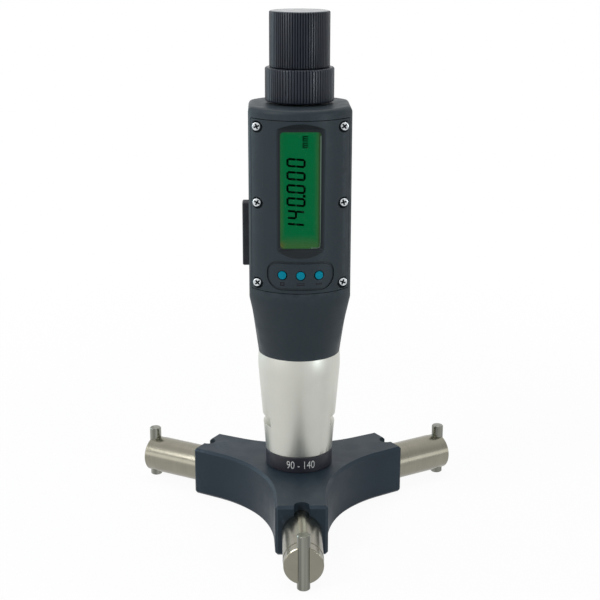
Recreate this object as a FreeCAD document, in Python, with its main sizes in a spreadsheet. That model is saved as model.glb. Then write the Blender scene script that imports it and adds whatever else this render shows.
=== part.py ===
import FreeCAD, Part
import math
import os

import Sketcher
from FreeCAD import Placement, Rotation, Vector

# Digital three-point inside micrometer, millimetres, standing on its measuring head.
# Z is the spindle axis and points up, z = 0 is the underside of the head, and the display faces -Y.

os.makedirs("parts", exist_ok=True)
doc = FreeCAD.newDocument("inside_micrometer")
sheet = doc.addObject("Spreadsheet::Sheet", "Sizes")


class Size:
    """A length that carries both its number, read from the sheet, and the formula that binds it."""

    def __init__(self, value, text):
        self.value = float(value)
        self.text = text

    def __add__(self, other):
        return Size(self.value + number(other), "(%s + %s)" % (self.text, formula(other)))

    def __radd__(self, other):
        return Size(number(other) + self.value, "(%s + %s)" % (formula(other), self.text))

    def __sub__(self, other):
        return Size(self.value - number(other), "(%s - %s)" % (self.text, formula(other)))

    def __rsub__(self, other):
        return Size(number(other) - self.value, "(%s - %s)" % (formula(other), self.text))

    def __mul__(self, other):
        return Size(self.value * number(other), "(%s * %s)" % (self.text, formula(other)))

    def __rmul__(self, other):
        return Size(number(other) * self.value, "(%s * %s)" % (formula(other), self.text))

    def __truediv__(self, other):
        return Size(self.value / number(other), "(%s / %s)" % (self.text, formula(other)))

    def __neg__(self):
        return Size(-self.value, "(-%s)" % self.text)


def number(quantity):
    return quantity.value if isinstance(quantity, Size) else float(quantity)


def formula(quantity):
    return quantity.text if isinstance(quantity, Size) else repr(quantity)


def root(quantity):
    return Size(math.sqrt(number(quantity)), "sqrt(%s)" % formula(quantity))


class Sizes:
    """The driving dimensions, each written once here and kept in the document's sheet."""

    # measuring head: a star with three arms, milled from one block
    head_height = 19.4
    arm_reach = 42.85
    arm_half_width = 9.6
    waist_reach = 18.9
    flank_length = 11.0
    head_edge = 1.0
    notch_width = 5.6
    notch_depth = 4.0

    # rods with their contact pins; the pins touch a bore of 2 x contact_reach
    contact_reach = 70.0
    rod_axis_height = 9.12
    rod_radius = 7.19
    rod_behind_key = 3.0
    rod_tip_radius = 7.05
    rod_tip_length = 4.6
    rod_end_edge = 0.3
    pin_radius = 2.33
    pin_length = 20.5
    pin_edge = 0.3
    pin_cover = 1.16
    key_radius = 1.0
    key_inset = 5.85
    key_height = 2.8
    keyway_depth = 1.1
    nut_bore_radius = 2.65
    nut_bore_end = 64.0

    # drive inside the head: a crown gear on the spindle turns three bevel pinions on lead screws
    crown_teeth = 24
    pinion_teeth = 12
    pinion_pitch_radius = 3.0
    gear_face_width = 2.0
    tooth_addendum = 0.4
    tooth_dedendum = 0.62
    tooth_half_width = 0.33
    tooth_flank_lean = 20.0
    pinion_bore_radius = 1.2
    pinion_hub_radius = 1.9
    pinion_hub_end = 6.65
    pinion_rim_thickness = 0.2
    crown_hub_radius = 4.2
    crown_rim_thickness = 1.6
    crown_top = 16.1
    crown_hub_length = 4.6
    screw_radius = 2.5
    screw_journal_radius = 1.5
    screw_inner_end = 3.4
    screw_engagement = 4.5
    screw_tip_edge = 0.5
    post_inner_face = 6.8
    post_thickness = 2.0
    post_half_width = 3.6
    post_height = 12.6

    # base plate that closes the head from below and carries the drive
    cavity_radius = 12.5
    cavity_top = 16.4
    base_radius = 16.6
    base_thickness = 1.6
    pivot_boss_radius = 2.6
    pivot_boss_height = 4.2
    base_screw_circle = 14.3
    base_screw_head_radius = 1.9
    base_screw_head_height = 1.0
    base_screw_head_rim = 0.3
    base_screw_radius = 1.0
    base_screw_length = 7.0

    # range ring, tapered sleeve and what they hold
    ring_height = 6.2
    ring_radius = 12.86
    ring_edge = 0.2
    spigot_radius = 9.9
    thread_spigot_radius = 8.0
    thread_spigot_length = 8.0
    bush_radius = 5.0
    sleeve_bottom_radius = 12.83
    sleeve_top_radius = 15.38
    sleeve_length = 39.65
    sleeve_shoulder_radius = 15.45
    sleeve_shoulder_height = 31.9
    sleeve_belly_radius = 15.62
    sleeve_belly_height = 35.9
    sleeve_edge = 0.3
    sleeve_bore_radius = 9.8
    sleeve_bore_start = 10.0
    sleeve_spigot_radius = 13.0
    sleeve_spigot_length = 6.0
    spanner_flat_half_width = 11.3
    spanner_flat_height = 3.7
    spanner_flat_rise = 12.7
    spanner_flat_turn = 3.4
    middle_bush_drop = 3.25
    middle_bush_height = 4.0

    # housing: an arc-fronted barrel with flat sides that narrows into a round nose
    nose_length = 23.75
    cover_rise = 3.7
    cover_height = 62.75
    cover_side_depth = 2.76
    housing_crown = 3.65
    housing_radius = 21.07
    housing_half_width = 18.62
    housing_wall = 2.0
    housing_top_thickness = 2.5
    housing_top_fillet = 2.0
    seam = 0.25
    pillar_inward = 3.2
    pillar_depth = 7.2
    pillar_half_height = 2.5
    shelf_drop = 18.6
    shelf_thickness = 1.8
    shelf_front = 3.0
    shelf_back = 9.5
    shelf_hole_radius = 4.5

    # front cover: display pocket, window, keypad groove and six screws
    screw_row_top_inset = 2.95
    screw_row_middle_rise = 32.4
    screw_row_bottom_inset = 2.7
    screw_column_inset = 3.02
    screw_seat_sink = 1.56
    screw_seat_radius = 2.15
    screw_land_inward = 2.4
    screw_land_outward = 0.3
    screw_land_sink = 0.46
    screw_land_half_height = 2.4
    cover_screw_head_radius = 1.55
    cover_screw_head_height = 1.3
    cover_screw_radius = 0.9
    cover_screw_length = 8.0
    pocket_rise = 15.8
    pocket_drop = 3.25
    pocket_sink = 1.9
    pocket_lower_slope = 1.55
    pocket_upper_slope = 1.12
    frame_thickness = 2.0
    frame_half_width = 8.6
    window_half_width = 7.3
    window_rise = 0.7
    window_drop = 1.0
    window_corner = 1.3
    window_recess = 0.15
    pane_side_gap = 0.1
    pane_thickness = 1.1
    pane_margin = 1.5
    display_thickness = 1.1
    keypad_half_width = 12.1
    keypad_half_height = 5.4
    keypad_rise = 6.7
    keypad_upper_corner = 4.2
    keypad_lower_corner = 5.2
    keypad_groove_width = 0.9
    keypad_groove_depth = 0.45
    button_pitch = 6.6
    button_rise = 0.23
    button_radius = 1.5
    button_gap = 0.3
    button_proud = 0.25
    button_flange_radius = 2.4
    button_flange_gap = 0.22
    button_flange_thickness = 0.8
    button_plunger_radius = 1.0
    button_plunger_gap = 0.57
    button_edge = 0.15
    mat_half_width = 10.0
    mat_half_height = 5.2
    mat_thickness = 0.95
    board_side_gap = 0.2
    board_thickness = 1.6
    board_rise = 3.8
    board_drop = 2.45

    # port cover on the left flat, battery at the back
    port_cover_height = 23.7
    port_cover_rise = 6.4
    port_cover_depth = 6.0
    port_cover_proud = 2.45
    port_cover_edge = 0.4
    port_tongue_inset = 0.7
    port_tongue_length = 2.6
    battery_radius = 10.0
    battery_thickness = 3.2
    battery_rise = 19.3
    holder_thickness = 1.2
    holder_half_width = 10.3
    holder_rim = 0.5
    battery_edge = 0.3

    # spindle and encoder
    spindle_radius = 3.0
    gear_seat_radius = 2.5
    pivot_radius = 1.5
    stem_radius = 2.5
    bush_flange_radius = 6.5
    bush_flange_height = 2.0
    rotor_inset = 1.5
    encoder_gap = 1.05
    rotor_thickness = 1.2
    rotor_hub_radius = 5.0
    rotor_hub_height = 4.6
    stator_gap = 0.65
    stator_bore_radius = 4.2
    stator_thickness = 1.6

    # ribbed collar and friction knob
    collar_radius = 12.55
    collar_gap = 0.8
    collar_height = 12.05
    collar_recess_radius = 8.0
    collar_recess_height = 2.4
    knob_radius = 10.97
    knob_height = 19.55
    knob_edge_height = 0.35
    knob_top_radius = 10.6
    knob_cavity_radius = 8.6
    spring_stack_height = 4.6
    knob_screw_recess_radius = 3.4
    cap_radius = 9.1
    cap_thickness = 2.2
    rib_count = 72
    knob_rib_depth = 0.38
    collar_rib_depth = 0.5
    rib_land = 0.42
    friction_disc_radius = 8.0
    friction_disc_thickness = 2.4
    spring_washer_radius = 6.5
    spring_washer_thickness = 0.5
    knob_screw_head_radius = 2.9
    knob_screw_head_height = 1.7
    knob_screw_radius = 1.5
    knob_screw_length = 8.0
    knob_screw_gap = 0.3

    # clearances
    slide_fit = 0.03
    turning_fit = 0.03
    seat_gap = 0.05
    loose_gap = 0.2
    turning_gap = 0.3


ROW = 1
for alias, value in list(vars(Sizes).items()):
    if alias.startswith("_"):
        continue
    sheet.set("A%d" % ROW, alias)
    sheet.set("B%d" % ROW, str(value))
    sheet.setAlias("B%d" % ROW, alias)
    ROW += 1
doc.recompute()
for alias in [name for name in vars(Sizes) if not name.startswith("_")]:
    setattr(Sizes, alias, Size(sheet.get(alias), "Sizes." + alias))
s = Sizes

# how far a cutting shape runs past the material
PAST = 1

# levels that follow from the driving dimensions
ARMS = (("front", 0), ("right", 120), ("left", -120))
diagonal = Size(math.sqrt(0.75), "sqrt(0.75)")
corner_along = diagonal * s.arm_half_width + 0.5 * s.arm_reach
corner_square = s.arm_half_width * s.arm_half_width + s.arm_reach * s.arm_reach
tangent_square = corner_square - 2 * s.waist_reach * corner_along + s.waist_reach * s.waist_reach
scoop_radius = (tangent_square - s.flank_length * s.flank_length) / (2 * (corner_along - s.waist_reach))
key_reach = s.arm_reach - s.key_inset
rod_inner_end = key_reach - s.rod_behind_key
rod_travel = rod_inner_end - s.post_inner_face - s.post_thickness - s.loose_gap
screw_tip = rod_inner_end + s.screw_engagement
ring_top = s.head_height + s.ring_height
sleeve_top = ring_top + s.sleeve_length
blend_top = sleeve_top + s.nose_length
spigot_top = ring_top + s.thread_spigot_length
middle_bush_bottom = sleeve_top - s.middle_bush_drop
cover_bottom = blend_top + s.cover_rise
cover_top = cover_bottom + s.cover_height
housing_top = cover_top + s.housing_crown
ceiling = housing_top - s.housing_top_thickness
screw_row_top = cover_top - s.screw_row_top_inset
screw_row_middle = cover_bottom + s.screw_row_middle_rise
screw_row_bottom = cover_bottom + s.screw_row_bottom_inset
pocket_bottom = cover_bottom + s.pocket_rise
pocket_top = cover_top - s.pocket_drop
window_bottom = pocket_bottom + s.window_rise
window_top = pocket_top - s.window_drop
pane_bottom = window_bottom - s.pane_margin
pane_top = window_top + s.pane_margin
keypad_height = cover_bottom + s.keypad_rise
button_height = keypad_height + s.button_rise
board_bottom = cover_bottom + s.board_rise
board_top = cover_top - s.board_drop
port_cover_bottom = cover_bottom + s.port_cover_rise
battery_height = cover_bottom + s.battery_rise
shelf_top = housing_top - s.shelf_drop
rotor_bottom = shelf_top + s.seat_gap + s.stator_thickness + s.encoder_gap
collar_bottom = housing_top + s.collar_gap
collar_top = collar_bottom + s.collar_height
friction_disc_top = collar_top + s.seat_gap + s.friction_disc_thickness
knob_bottom = collar_top + s.turning_gap
knob_cavity_top = friction_disc_top + s.spring_stack_height
knob_top = knob_bottom + s.knob_height
cap_bottom = knob_top - s.cap_thickness
stem_top = cap_bottom - s.knob_screw_gap - s.knob_screw_head_height

# widths and depths that follow: the cover's screws, parting plane and layers behind its window
pin_reach = s.contact_reach - s.pin_radius
rod_end = pin_reach + s.pin_cover
inner_radius = s.housing_radius - s.housing_wall
inner_half_width = s.housing_half_width - s.housing_wall
screw_column = s.housing_half_width - s.screw_column_inset
screw_surface = root(s.housing_radius * s.housing_radius - screw_column * screw_column)
screw_land_inner = screw_column - s.screw_land_inward
screw_seat_depth = screw_surface - s.screw_seat_sink
parting_depth = screw_surface - s.cover_side_depth
pillar_front = parting_depth + s.seam - s.seat_gap
board_half_width = screw_land_inner - s.board_side_gap
board_back = pillar_front + s.seat_gap
board_front = board_back + s.board_thickness
stator_radius = board_back - s.stator_gap
rotor_radius = stator_radius - s.rotor_inset
pocket_floor = s.housing_radius - s.pocket_sink
frame_back = pocket_floor - s.frame_thickness
pane_front = frame_back - s.seat_gap
pane_back = pane_front - s.pane_thickness
pane_half_width = root(inner_radius * inner_radius - pane_front * pane_front) - s.pane_side_gap
display_front = pane_back - s.seat_gap
display_back = display_front - s.display_thickness
mat_front = board_front + s.seat_gap + s.mat_thickness
outer_button_reach = s.button_pitch + s.button_flange_radius
flange_surface = root(inner_radius * inner_radius - outer_button_reach * outer_button_reach)
button_flange_front = flange_surface - s.button_flange_gap
holder_back = root(inner_radius * inner_radius - s.holder_half_width * s.holder_half_width) - s.seat_gap
battery_seat = holder_back - s.holder_thickness
BUTTONS = (("left", -s.button_pitch), ("middle", 0), ("right", s.button_pitch))


def bind(thing, prop, quantity):
    """Tie one property to the sheet; a plain number is set as it is."""
    if isinstance(quantity, Size):
        thing.setExpression(prop, quantity.text)
    elif prop.startswith("Placement.Base."):
        thing.setExpression(prop, repr(float(quantity)))
    else:
        setattr(thing, prop, quantity)


def put(thing, at=(0, 0, 0), turn=None):
    """Place a feature or a body; each coordinate stays bound to the sheet."""
    base = Vector(*(number(c) for c in at))
    thing.Placement = Placement(base, turn or Rotation())
    for axis, coordinate in zip("xyz", at):
        if isinstance(coordinate, Size):
            thing.setExpression("Placement.Base." + axis, coordinate.text)
    return thing


def new_body(label):
    body = doc.addObject("PartDesign::Body", label)
    body.Label = label
    return body


def origin_part(body, role):
    return next(f for f in body.Origin.OriginFeatures if f.Role == role)


def new_sketch(body, name, plane="XY_Plane", height=0):
    """A sketch on one of the body's own planes, lifted along the plane's normal."""
    sketch = body.newObject("Sketcher::SketchObject", name)
    sketch.AttachmentSupport = [(origin_part(body, plane), "")]
    sketch.MapMode = "FlatFace"
    sketch.AttachmentOffset = Placement(Vector(0, 0, number(height)), Rotation())
    if isinstance(height, Size):
        sketch.setExpression("AttachmentOffset.Base.z", height.text)
    return sketch


def fix_coordinate(sketch, kind, edge, end, coordinate):
    """Dimension one end of an edge from the sketch's origin, bound to the sheet."""
    name = "%s_%d_%d" % (kind, edge, end)
    index = sketch.addConstraint(Sketcher.Constraint(kind, -1, 1, edge, end, number(coordinate)))
    sketch.renameConstraint(index, name)
    if isinstance(coordinate, Size):
        sketch.setExpression("Constraints." + name, coordinate.text)


def fix_point(sketch, edge, end, x, y):
    fix_coordinate(sketch, "DistanceX", edge, end, x)
    fix_coordinate(sketch, "DistanceY", edge, end, y)


def fix_radius(sketch, edge, radius):
    name = "Radius_%d" % edge
    index = sketch.addConstraint(Sketcher.Constraint("Radius", edge, number(radius)))
    sketch.renameConstraint(index, name)
    if isinstance(radius, Size):
        sketch.setExpression("Constraints." + name, radius.text)


def draw_outline(sketch, points):
    """A closed outline of straight lines; every corner is dimensioned."""
    corners = [Vector(number(x), number(y), 0) for x, y in points]
    first = sketch.GeometryCount
    for start, end in zip(corners, corners[1:] + corners[:1]):
        sketch.addGeometry(Part.LineSegment(start, end), False)
    last = first + len(points) - 1
    for edge, (x, y) in zip(range(first, last + 1), points):
        following = first if edge == last else edge + 1
        sketch.addConstraint(Sketcher.Constraint("Coincident", edge, 2, following, 1))
        fix_point(sketch, edge, 1, x, y)


def draw_rounded_rectangle(sketch, middle_height, half_width, half_height, upper, lower):
    """A rectangle across the sketch's upright axis, its upper and lower corners rounded by these radii."""
    turns = ((1, -1, lower), (1, 1, upper), (-1, 1, upper), (-1, -1, lower))
    sides = (((-1, -1, 0, 1), (1, -1, 0, 1)), ((1, -1, 1, 0), (1, 1, 1, 0)),
             ((1, 1, 0, 1), (-1, 1, 0, 1)), ((-1, 1, 1, 0), (-1, -1, 1, 0)))
    first = sketch.GeometryCount
    placed = []
    for side in sides:
        ends = []
        for sign_x, sign_y, full_x, full_y in side:
            corner = upper if sign_y > 0 else lower
            reach_x = half_width if full_x else half_width - corner
            reach_y = half_height if full_y else half_height - corner
            ends.append((sign_x * reach_x, middle_height + sign_y * reach_y))
        placed.append(ends)
    for start, end in placed:
        sketch.addGeometry(Part.LineSegment(Vector(number(start[0]), number(start[1]), 0),
                                            Vector(number(end[0]), number(end[1]), 0)), False)
    for turn, (sign_x, sign_y, corner) in enumerate(turns):
        centre = Vector(number(sign_x * (half_width - corner)),
                        number(middle_height + sign_y * (half_height - corner)), 0)
        circle = Part.Circle(centre, Vector(0, 0, 1), number(corner))
        begin = math.radians(90 * turn - 90)
        sketch.addGeometry(Part.ArcOfCircle(circle, begin, begin + math.pi / 2), False)
    for turn, (start, end) in enumerate(placed):
        fix_point(sketch, first + turn, 1, *start)
        fix_point(sketch, first + turn, 2, *end)
        arc = first + 4 + turn
        sketch.addConstraint(Sketcher.Constraint("Coincident", first + turn, 2, arc, 1))
        sketch.addConstraint(Sketcher.Constraint("Coincident", arc, 2, first + (turn + 1) % 4, 1))
        fix_radius(sketch, arc, turns[turn][2])


def turned(label, points, at=(0, 0, 0), turn=None):
    """A turned piece: an outline of radius and height, revolved about the body's Z axis."""
    body = new_body(label)
    sketch = new_sketch(body, label + "_profile", "XZ_Plane")
    draw_outline(sketch, points)
    revolution = body.newObject("PartDesign::Revolution", label + "_turned")
    revolution.Profile = sketch
    revolution.ReferenceAxis = (sketch, ["V_Axis"])
    revolution.Angle = 360
    body.Tip = revolution
    return put(body, at, turn)


def padded(body, sketch, length, name):
    pad = body.newObject("PartDesign::Pad", name)
    pad.Profile = sketch
    bind(pad, "Length", length)
    body.Tip = pad
    return pad


def box(body, name, low, high, add=False):
    """Add or cut a block between two corners."""
    kind = "PartDesign::AdditiveBox" if add else "PartDesign::SubtractiveBox"
    block = body.newObject(kind, name)
    for prop, start, end in zip(("Length", "Width", "Height"), low, high):
        bind(block, prop, end - start)
    put(block, low)
    body.Tip = block
    return block


def rod(body, name, radius, length, at=(0, 0, 0), turn=None, add=False):
    """Add or cut a cylinder that starts at a point and runs along its own turned Z axis."""
    kind = "PartDesign::AdditiveCylinder" if add else "PartDesign::SubtractiveCylinder"
    cylinder = body.newObject(kind, name)
    bind(cylinder, "Radius", radius)
    bind(cylinder, "Height", length)
    put(cylinder, at, turn)
    body.Tip = cylinder
    return cylinder


def around(body, originals, count, name):
    """Repeat features evenly about the body's Z axis."""
    pattern = body.newObject("PartDesign::PolarPattern", name)
    pattern.Originals = originals
    pattern.Axis = (origin_part(body, "Z_Axis"), [""])
    pattern.Angle = 360
    if isinstance(count, Size):
        pattern.setExpression("Occurrences", count.text)
    else:
        pattern.Occurrences = count
    body.Tip = pattern
    return pattern


SCREW_ROWS = (("top", screw_row_top), ("middle", screw_row_middle), ("bottom", screw_row_bottom))
OUTWARD = Rotation(Vector(1, 0, 0), 90)
BACKWARD = Rotation(Vector(1, 0, 0), -90)


def facing(angle):
    """Turn a piece's Z axis outward along one arm; its Y axis then points up."""
    return Rotation(Vector(0, 0, 1), angle) * OUTWARD


def screw_places():
    """Across and up: where the six cover screws stand."""
    return [(side * screw_column, level) for _, level in SCREW_ROWS for side in (1, -1)]


def edges_where(shape, test):
    return ["Edge%d" % (i + 1) for i, edge in enumerate(shape.Edges) if test(edge)]


def dress(body, kind, edges, size, name):
    """Chamfer or fillet named edges of the body's present tip."""
    feature = body.newObject("PartDesign::" + kind, name)
    feature.Base = (body.Tip if body.Tip != feature else feature.BaseFeature, edges)
    bind(feature, "Size" if kind == "Chamfer" else "Radius", size)
    body.Tip = feature
    return feature


def measuring_head():
    body = new_body("measuring_head")
    sketch = new_sketch(body, "arm_outline")
    centre_reach = s.waist_reach + scoop_radius
    for side in (1, -1):
        waist = (side * diagonal * s.waist_reach, -0.5 * s.waist_reach)
        centre = (side * diagonal * centre_reach, -0.5 * centre_reach)
        corner = (side * s.arm_half_width, -s.arm_reach)
        away = Vector(number(corner[0]) - number(centre[0]), number(corner[1]) - number(centre[1]), 0)
        lean = math.acos(scoop_radius.value / away.Length)
        touch_angle = math.atan2(away.y, away.x) - side * lean
        waist_angle = math.atan2(number(waist[1]) - number(centre[1]), number(waist[0]) - number(centre[0]))
        middle = Vector(number(centre[0]), number(centre[1]), 0)
        circle = Part.Circle(middle, Vector(0, 0, 1), scoop_radius.value)
        touch = middle + Vector(math.cos(touch_angle), math.sin(touch_angle), 0) * scoop_radius.value
        spoke = sketch.addGeometry(Part.LineSegment(Vector(), Vector(number(waist[0]), number(waist[1]), 0)))
        low, high = sorted((touch_angle % (2 * math.pi), waist_angle % (2 * math.pi)))
        arc = sketch.addGeometry(Part.ArcOfCircle(circle, low, high))
        flank = sketch.addGeometry(Part.LineSegment(touch, Vector(number(corner[0]), number(corner[1]), 0)))
        waist_end, touch_end = (1, 2) if low == waist_angle % (2 * math.pi) else (2, 1)
        fix_point(sketch, spoke, 1, 0, 0)
        fix_point(sketch, spoke, 2, *waist)
        fix_point(sketch, arc, 3, *centre)
        sketch.addConstraint(Sketcher.Constraint("Coincident", arc, waist_end, spoke, 2))
        sketch.addConstraint(Sketcher.Constraint("Tangent", arc, touch_end, flank, 1))
        fix_point(sketch, flank, 2, *corner)
    end_face = sketch.addGeometry(Part.LineSegment(Vector(s.arm_half_width.value, -s.arm_reach.value, 0),
                                                   Vector(-s.arm_half_width.value, -s.arm_reach.value, 0)))
    sketch.addConstraint(Sketcher.Constraint("Coincident", end_face, 1, 2, 2))
    sketch.addConstraint(Sketcher.Constraint("Coincident", end_face, 2, 5, 2))
    arm = padded(body, sketch, s.head_height, "arm")
    star = around(body, [arm], len(ARMS), "star")
    doc.recompute()

    def is_outer_edge(edge):
        middle = edge.CenterOfMass
        level = abs(middle.z) < 1e-4 or abs(middle.z - s.head_height.value) < 1e-4
        corner = math.hypot(middle.x, middle.y) > math.hypot(s.arm_reach.value, s.arm_half_width.value) - 0.1
        return level or corner

    dress(body, "Chamfer", edges_where(star.Shape, is_outer_edge), s.head_edge, "edges")
    rod(body, "ring_spigot", s.spigot_radius, s.ring_height, (0, 0, s.head_height), add=True)
    rod(body, "thread_spigot", s.thread_spigot_radius, s.thread_spigot_length, (0, 0, ring_top), add=True)
    rod(body, "drive_cavity", s.cavity_radius, s.cavity_top)
    rod(body, "base_recess", s.base_radius + s.seat_gap, s.base_thickness)
    rod(body, "bush_bore", s.bush_radius, spigot_top - s.cavity_top, (0, 0, s.cavity_top))
    bore = rod(body, "rod_bore", s.rod_radius + s.slide_fit, s.arm_reach + s.head_edge,
               (0, 0, s.rod_axis_height), OUTWARD)
    around(body, [bore], len(ARMS), "rod_bores")
    notch_end = s.arm_reach - s.notch_depth + s.notch_width / 2
    slot = box(body, "notch", (-s.notch_width / 2, -s.arm_reach - s.head_edge, -s.head_edge),
               (s.notch_width / 2, -notch_end, s.head_height + s.head_edge))
    slot_end = rod(body, "notch_end", s.notch_width / 2, s.head_height + 2 * s.head_edge,
                   (0, -notch_end, -s.head_edge))
    around(body, [slot, slot_end], len(ARMS), "notches")
    key_hole = rod(body, "key_hole", s.key_radius, s.rod_axis_height, (0, -key_reach, 0))
    around(body, [key_hole], len(ARMS), "key_holes")
    screw_hole = rod(body, "base_screw_hole", s.base_screw_radius, s.base_screw_length + s.seat_gap,
                     (0, s.base_screw_circle, 0))
    around(body, [screw_hole], len(ARMS), "base_screw_holes")
    return body


def base_plate():
    """Round plate let into the underside, with one bearing post for each lead screw."""
    body = new_body("base_plate")
    rod(body, "plate", s.base_radius, s.base_thickness, add=True)
    post = box(body, "post", (-s.post_half_width, -s.post_inner_face - s.post_thickness, s.base_thickness),
               (s.post_half_width, -s.post_inner_face, s.post_height), add=True)
    around(body, [post], len(ARMS), "posts")
    journal = rod(body, "journal_bore", s.screw_journal_radius + s.turning_fit, s.post_thickness * 2,
                  (0, -s.post_inner_face + s.post_thickness / 2, s.rod_axis_height), OUTWARD)
    around(body, [journal], len(ARMS), "journal_bores")
    rod(body, "pivot_boss", s.pivot_boss_radius, s.pivot_boss_height - s.base_thickness,
        (0, 0, s.base_thickness), add=True)
    rod(body, "pivot_bore", s.pivot_radius + s.turning_fit, s.pivot_boss_height,
        (0, 0, s.base_thickness + s.seat_gap))
    hole = rod(body, "screw_hole", s.base_screw_radius + s.seat_gap, s.base_thickness,
               (0, s.base_screw_circle, 0))
    sink = rod(body, "screw_sink", s.base_screw_head_radius + s.seat_gap, s.base_screw_head_height,
               (0, s.base_screw_circle, 0))
    around(body, [hole, sink], len(ARMS), "screw_holes")
    return body


def fastener_group(label, profile, places):
    """Like fasteners in one node: the same turned profile, once at each place."""
    copies = []
    for index, (at, turn) in enumerate(places):
        copies.append(turned("%s_%d" % (label, index + 1), profile, at, turn))
    group = doc.addObject("Part::Compound", label)
    group.Links = copies
    group.Label = label
    return group


def around_axis(angle, reach, height=0):
    """A bound place at a reach from the axis, towards one arm's direction."""
    sine = Size(math.sin(math.radians(angle)), "sin(%d)" % angle)
    cosine = Size(math.cos(math.radians(angle)), "cos(%d)" % angle)
    return (sine * reach, -1 * cosine * reach, height)


def base_screws():
    profile = ((0, 0), (s.base_screw_head_radius, 0), (s.base_screw_head_radius, s.base_screw_head_rim),
               (s.base_screw_radius, s.base_screw_head_height), (s.base_screw_radius, s.base_screw_length),
               (0, s.base_screw_length))
    places = [(around_axis(angle + 180, s.base_screw_circle), None) for _, angle in ARMS]
    return fastener_group("base_screws", profile, places)


def guide_keys():
    """Dowels in the arms' underside; each runs in the keyway of its rod and stops it turning."""
    profile = ((0, 0), (s.key_radius, 0), (s.key_radius, s.key_height), (0, s.key_height))
    places = [(around_axis(angle, key_reach), None) for _, angle in ARMS]
    return fastener_group("guide_keys", profile, places)


def measuring_rod(arm, angle):
    edge = s.rod_end_edge
    tip_start = rod_end - s.rod_tip_length
    body = turned("measuring_rod_" + arm,
                  ((s.nut_bore_radius, rod_inner_end), (s.rod_radius - edge, rod_inner_end),
                   (s.rod_radius, rod_inner_end + edge), (s.rod_radius, tip_start),
                   (s.rod_tip_radius, tip_start), (s.rod_tip_radius, rod_end - edge),
                   (s.rod_tip_radius - edge, rod_end), (0, rod_end), (0, s.nut_bore_end),
                   (s.nut_bore_radius, s.nut_bore_end)),
                  (0, 0, s.rod_axis_height), facing(angle))
    rod(body, "pin_hole_" + arm, s.pin_radius, 4 * s.rod_radius, (0, 2 * s.rod_radius, pin_reach), OUTWARD)
    keyway_half = s.key_radius + s.slide_fit
    box(body, "keyway_" + arm, (-keyway_half, -s.rod_radius - PAST, key_reach - s.key_radius - s.loose_gap),
        (keyway_half, -s.rod_radius + s.keyway_depth,
         key_reach + rod_travel + s.key_radius + s.loose_gap))
    return body


def contact_pin(arm, angle):
    return turned("contact_pin_" + arm,
                  ((0, 0), (s.pin_radius - s.pin_edge, 0), (s.pin_radius, s.pin_edge),
                   (s.pin_radius, s.pin_length - s.pin_edge), (s.pin_radius - s.pin_edge, s.pin_length),
                   (0, s.pin_length)),
                  around_axis(angle, pin_reach))


def lead_screw(arm, angle):
    journal_end = s.post_inner_face + s.post_thickness + s.seat_gap
    return turned("lead_screw_" + arm,
                  ((0, s.screw_inner_end), (s.pinion_bore_radius, s.screw_inner_end),
                   (s.pinion_bore_radius, s.pinion_hub_end), (s.screw_journal_radius, s.pinion_hub_end),
                   (s.screw_journal_radius, journal_end), (s.screw_radius, journal_end),
                   (s.screw_radius, screw_tip - s.screw_tip_edge),
                   (s.screw_radius - s.screw_tip_edge, screw_tip),
                   (0, screw_tip)),
                  (0, 0, s.rod_axis_height), facing(angle))


def ray(lean, bearing):
    """A direction from the gear's apex, leaning from its axis, at a bearing about it."""
    return Vector(math.sin(lean) * math.cos(bearing), math.sin(lean) * math.sin(bearing), math.cos(lean))


def flat_sided(near, far):
    """A solid with flat sides between two outlines of as many corners."""
    count = len(near)
    outlines = [near, far]
    outlines += [(near[i], near[(i + 1) % count], far[(i + 1) % count], far[i]) for i in range(count)]
    faces = [Part.Face(Part.makePolygon(list(corners) + [corners[0]])) for corners in outlines]
    solid = Part.Solid(Part.Shell(faces))
    if solid.Volume < 0:
        solid.reverse()
    return solid


def tooth_gaps(teeth, pitch_lean, root_lean, tip_lean, outer_reach):
    """Wedges for the gaps between straight bevel teeth: every flank runs to the gear's apex."""
    slope = math.tan(math.radians(s.tooth_flank_lean.value))
    half_pitch = math.pi / teeth
    half_width = s.tooth_half_width.value
    tip_half = (half_width - s.tooth_addendum.value * slope) / (outer_reach * math.sin(tip_lean))
    root_half = (half_width + s.tooth_dedendum.value * slope) / (outer_reach * math.sin(pitch_lean))
    wedges = []
    for gap in range(teeth):
        bearing = 2 * math.pi * gap / teeth + half_pitch
        pitch_line = ray(pitch_lean, bearing)
        rays = []
        for side in (-1, 1):
            floor_ray = ray(root_lean, bearing + side * (half_pitch - root_half))
            mouth_ray = ray(tip_lean, bearing + side * (half_pitch - tip_half))
            rays.append((floor_ray, mouth_ray * 2 - floor_ray))
        outline = (rays[0][0], rays[0][1], rays[1][1], rays[1][0])
        near, far = ([direction * (reach / direction.dot(pitch_line)) for direction in outline]
                     for reach in (outer_reach / 4, outer_reach * 1.5))
        wedges.append(flat_sided(near, far))
    return wedges


def revolved(points):
    wire = Part.makePolygon([Vector(r, 0, z) for r, z in points + points[:1]])
    return Part.Face(wire).revolve(Vector(), Vector(0, 0, 1), 360)


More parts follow.
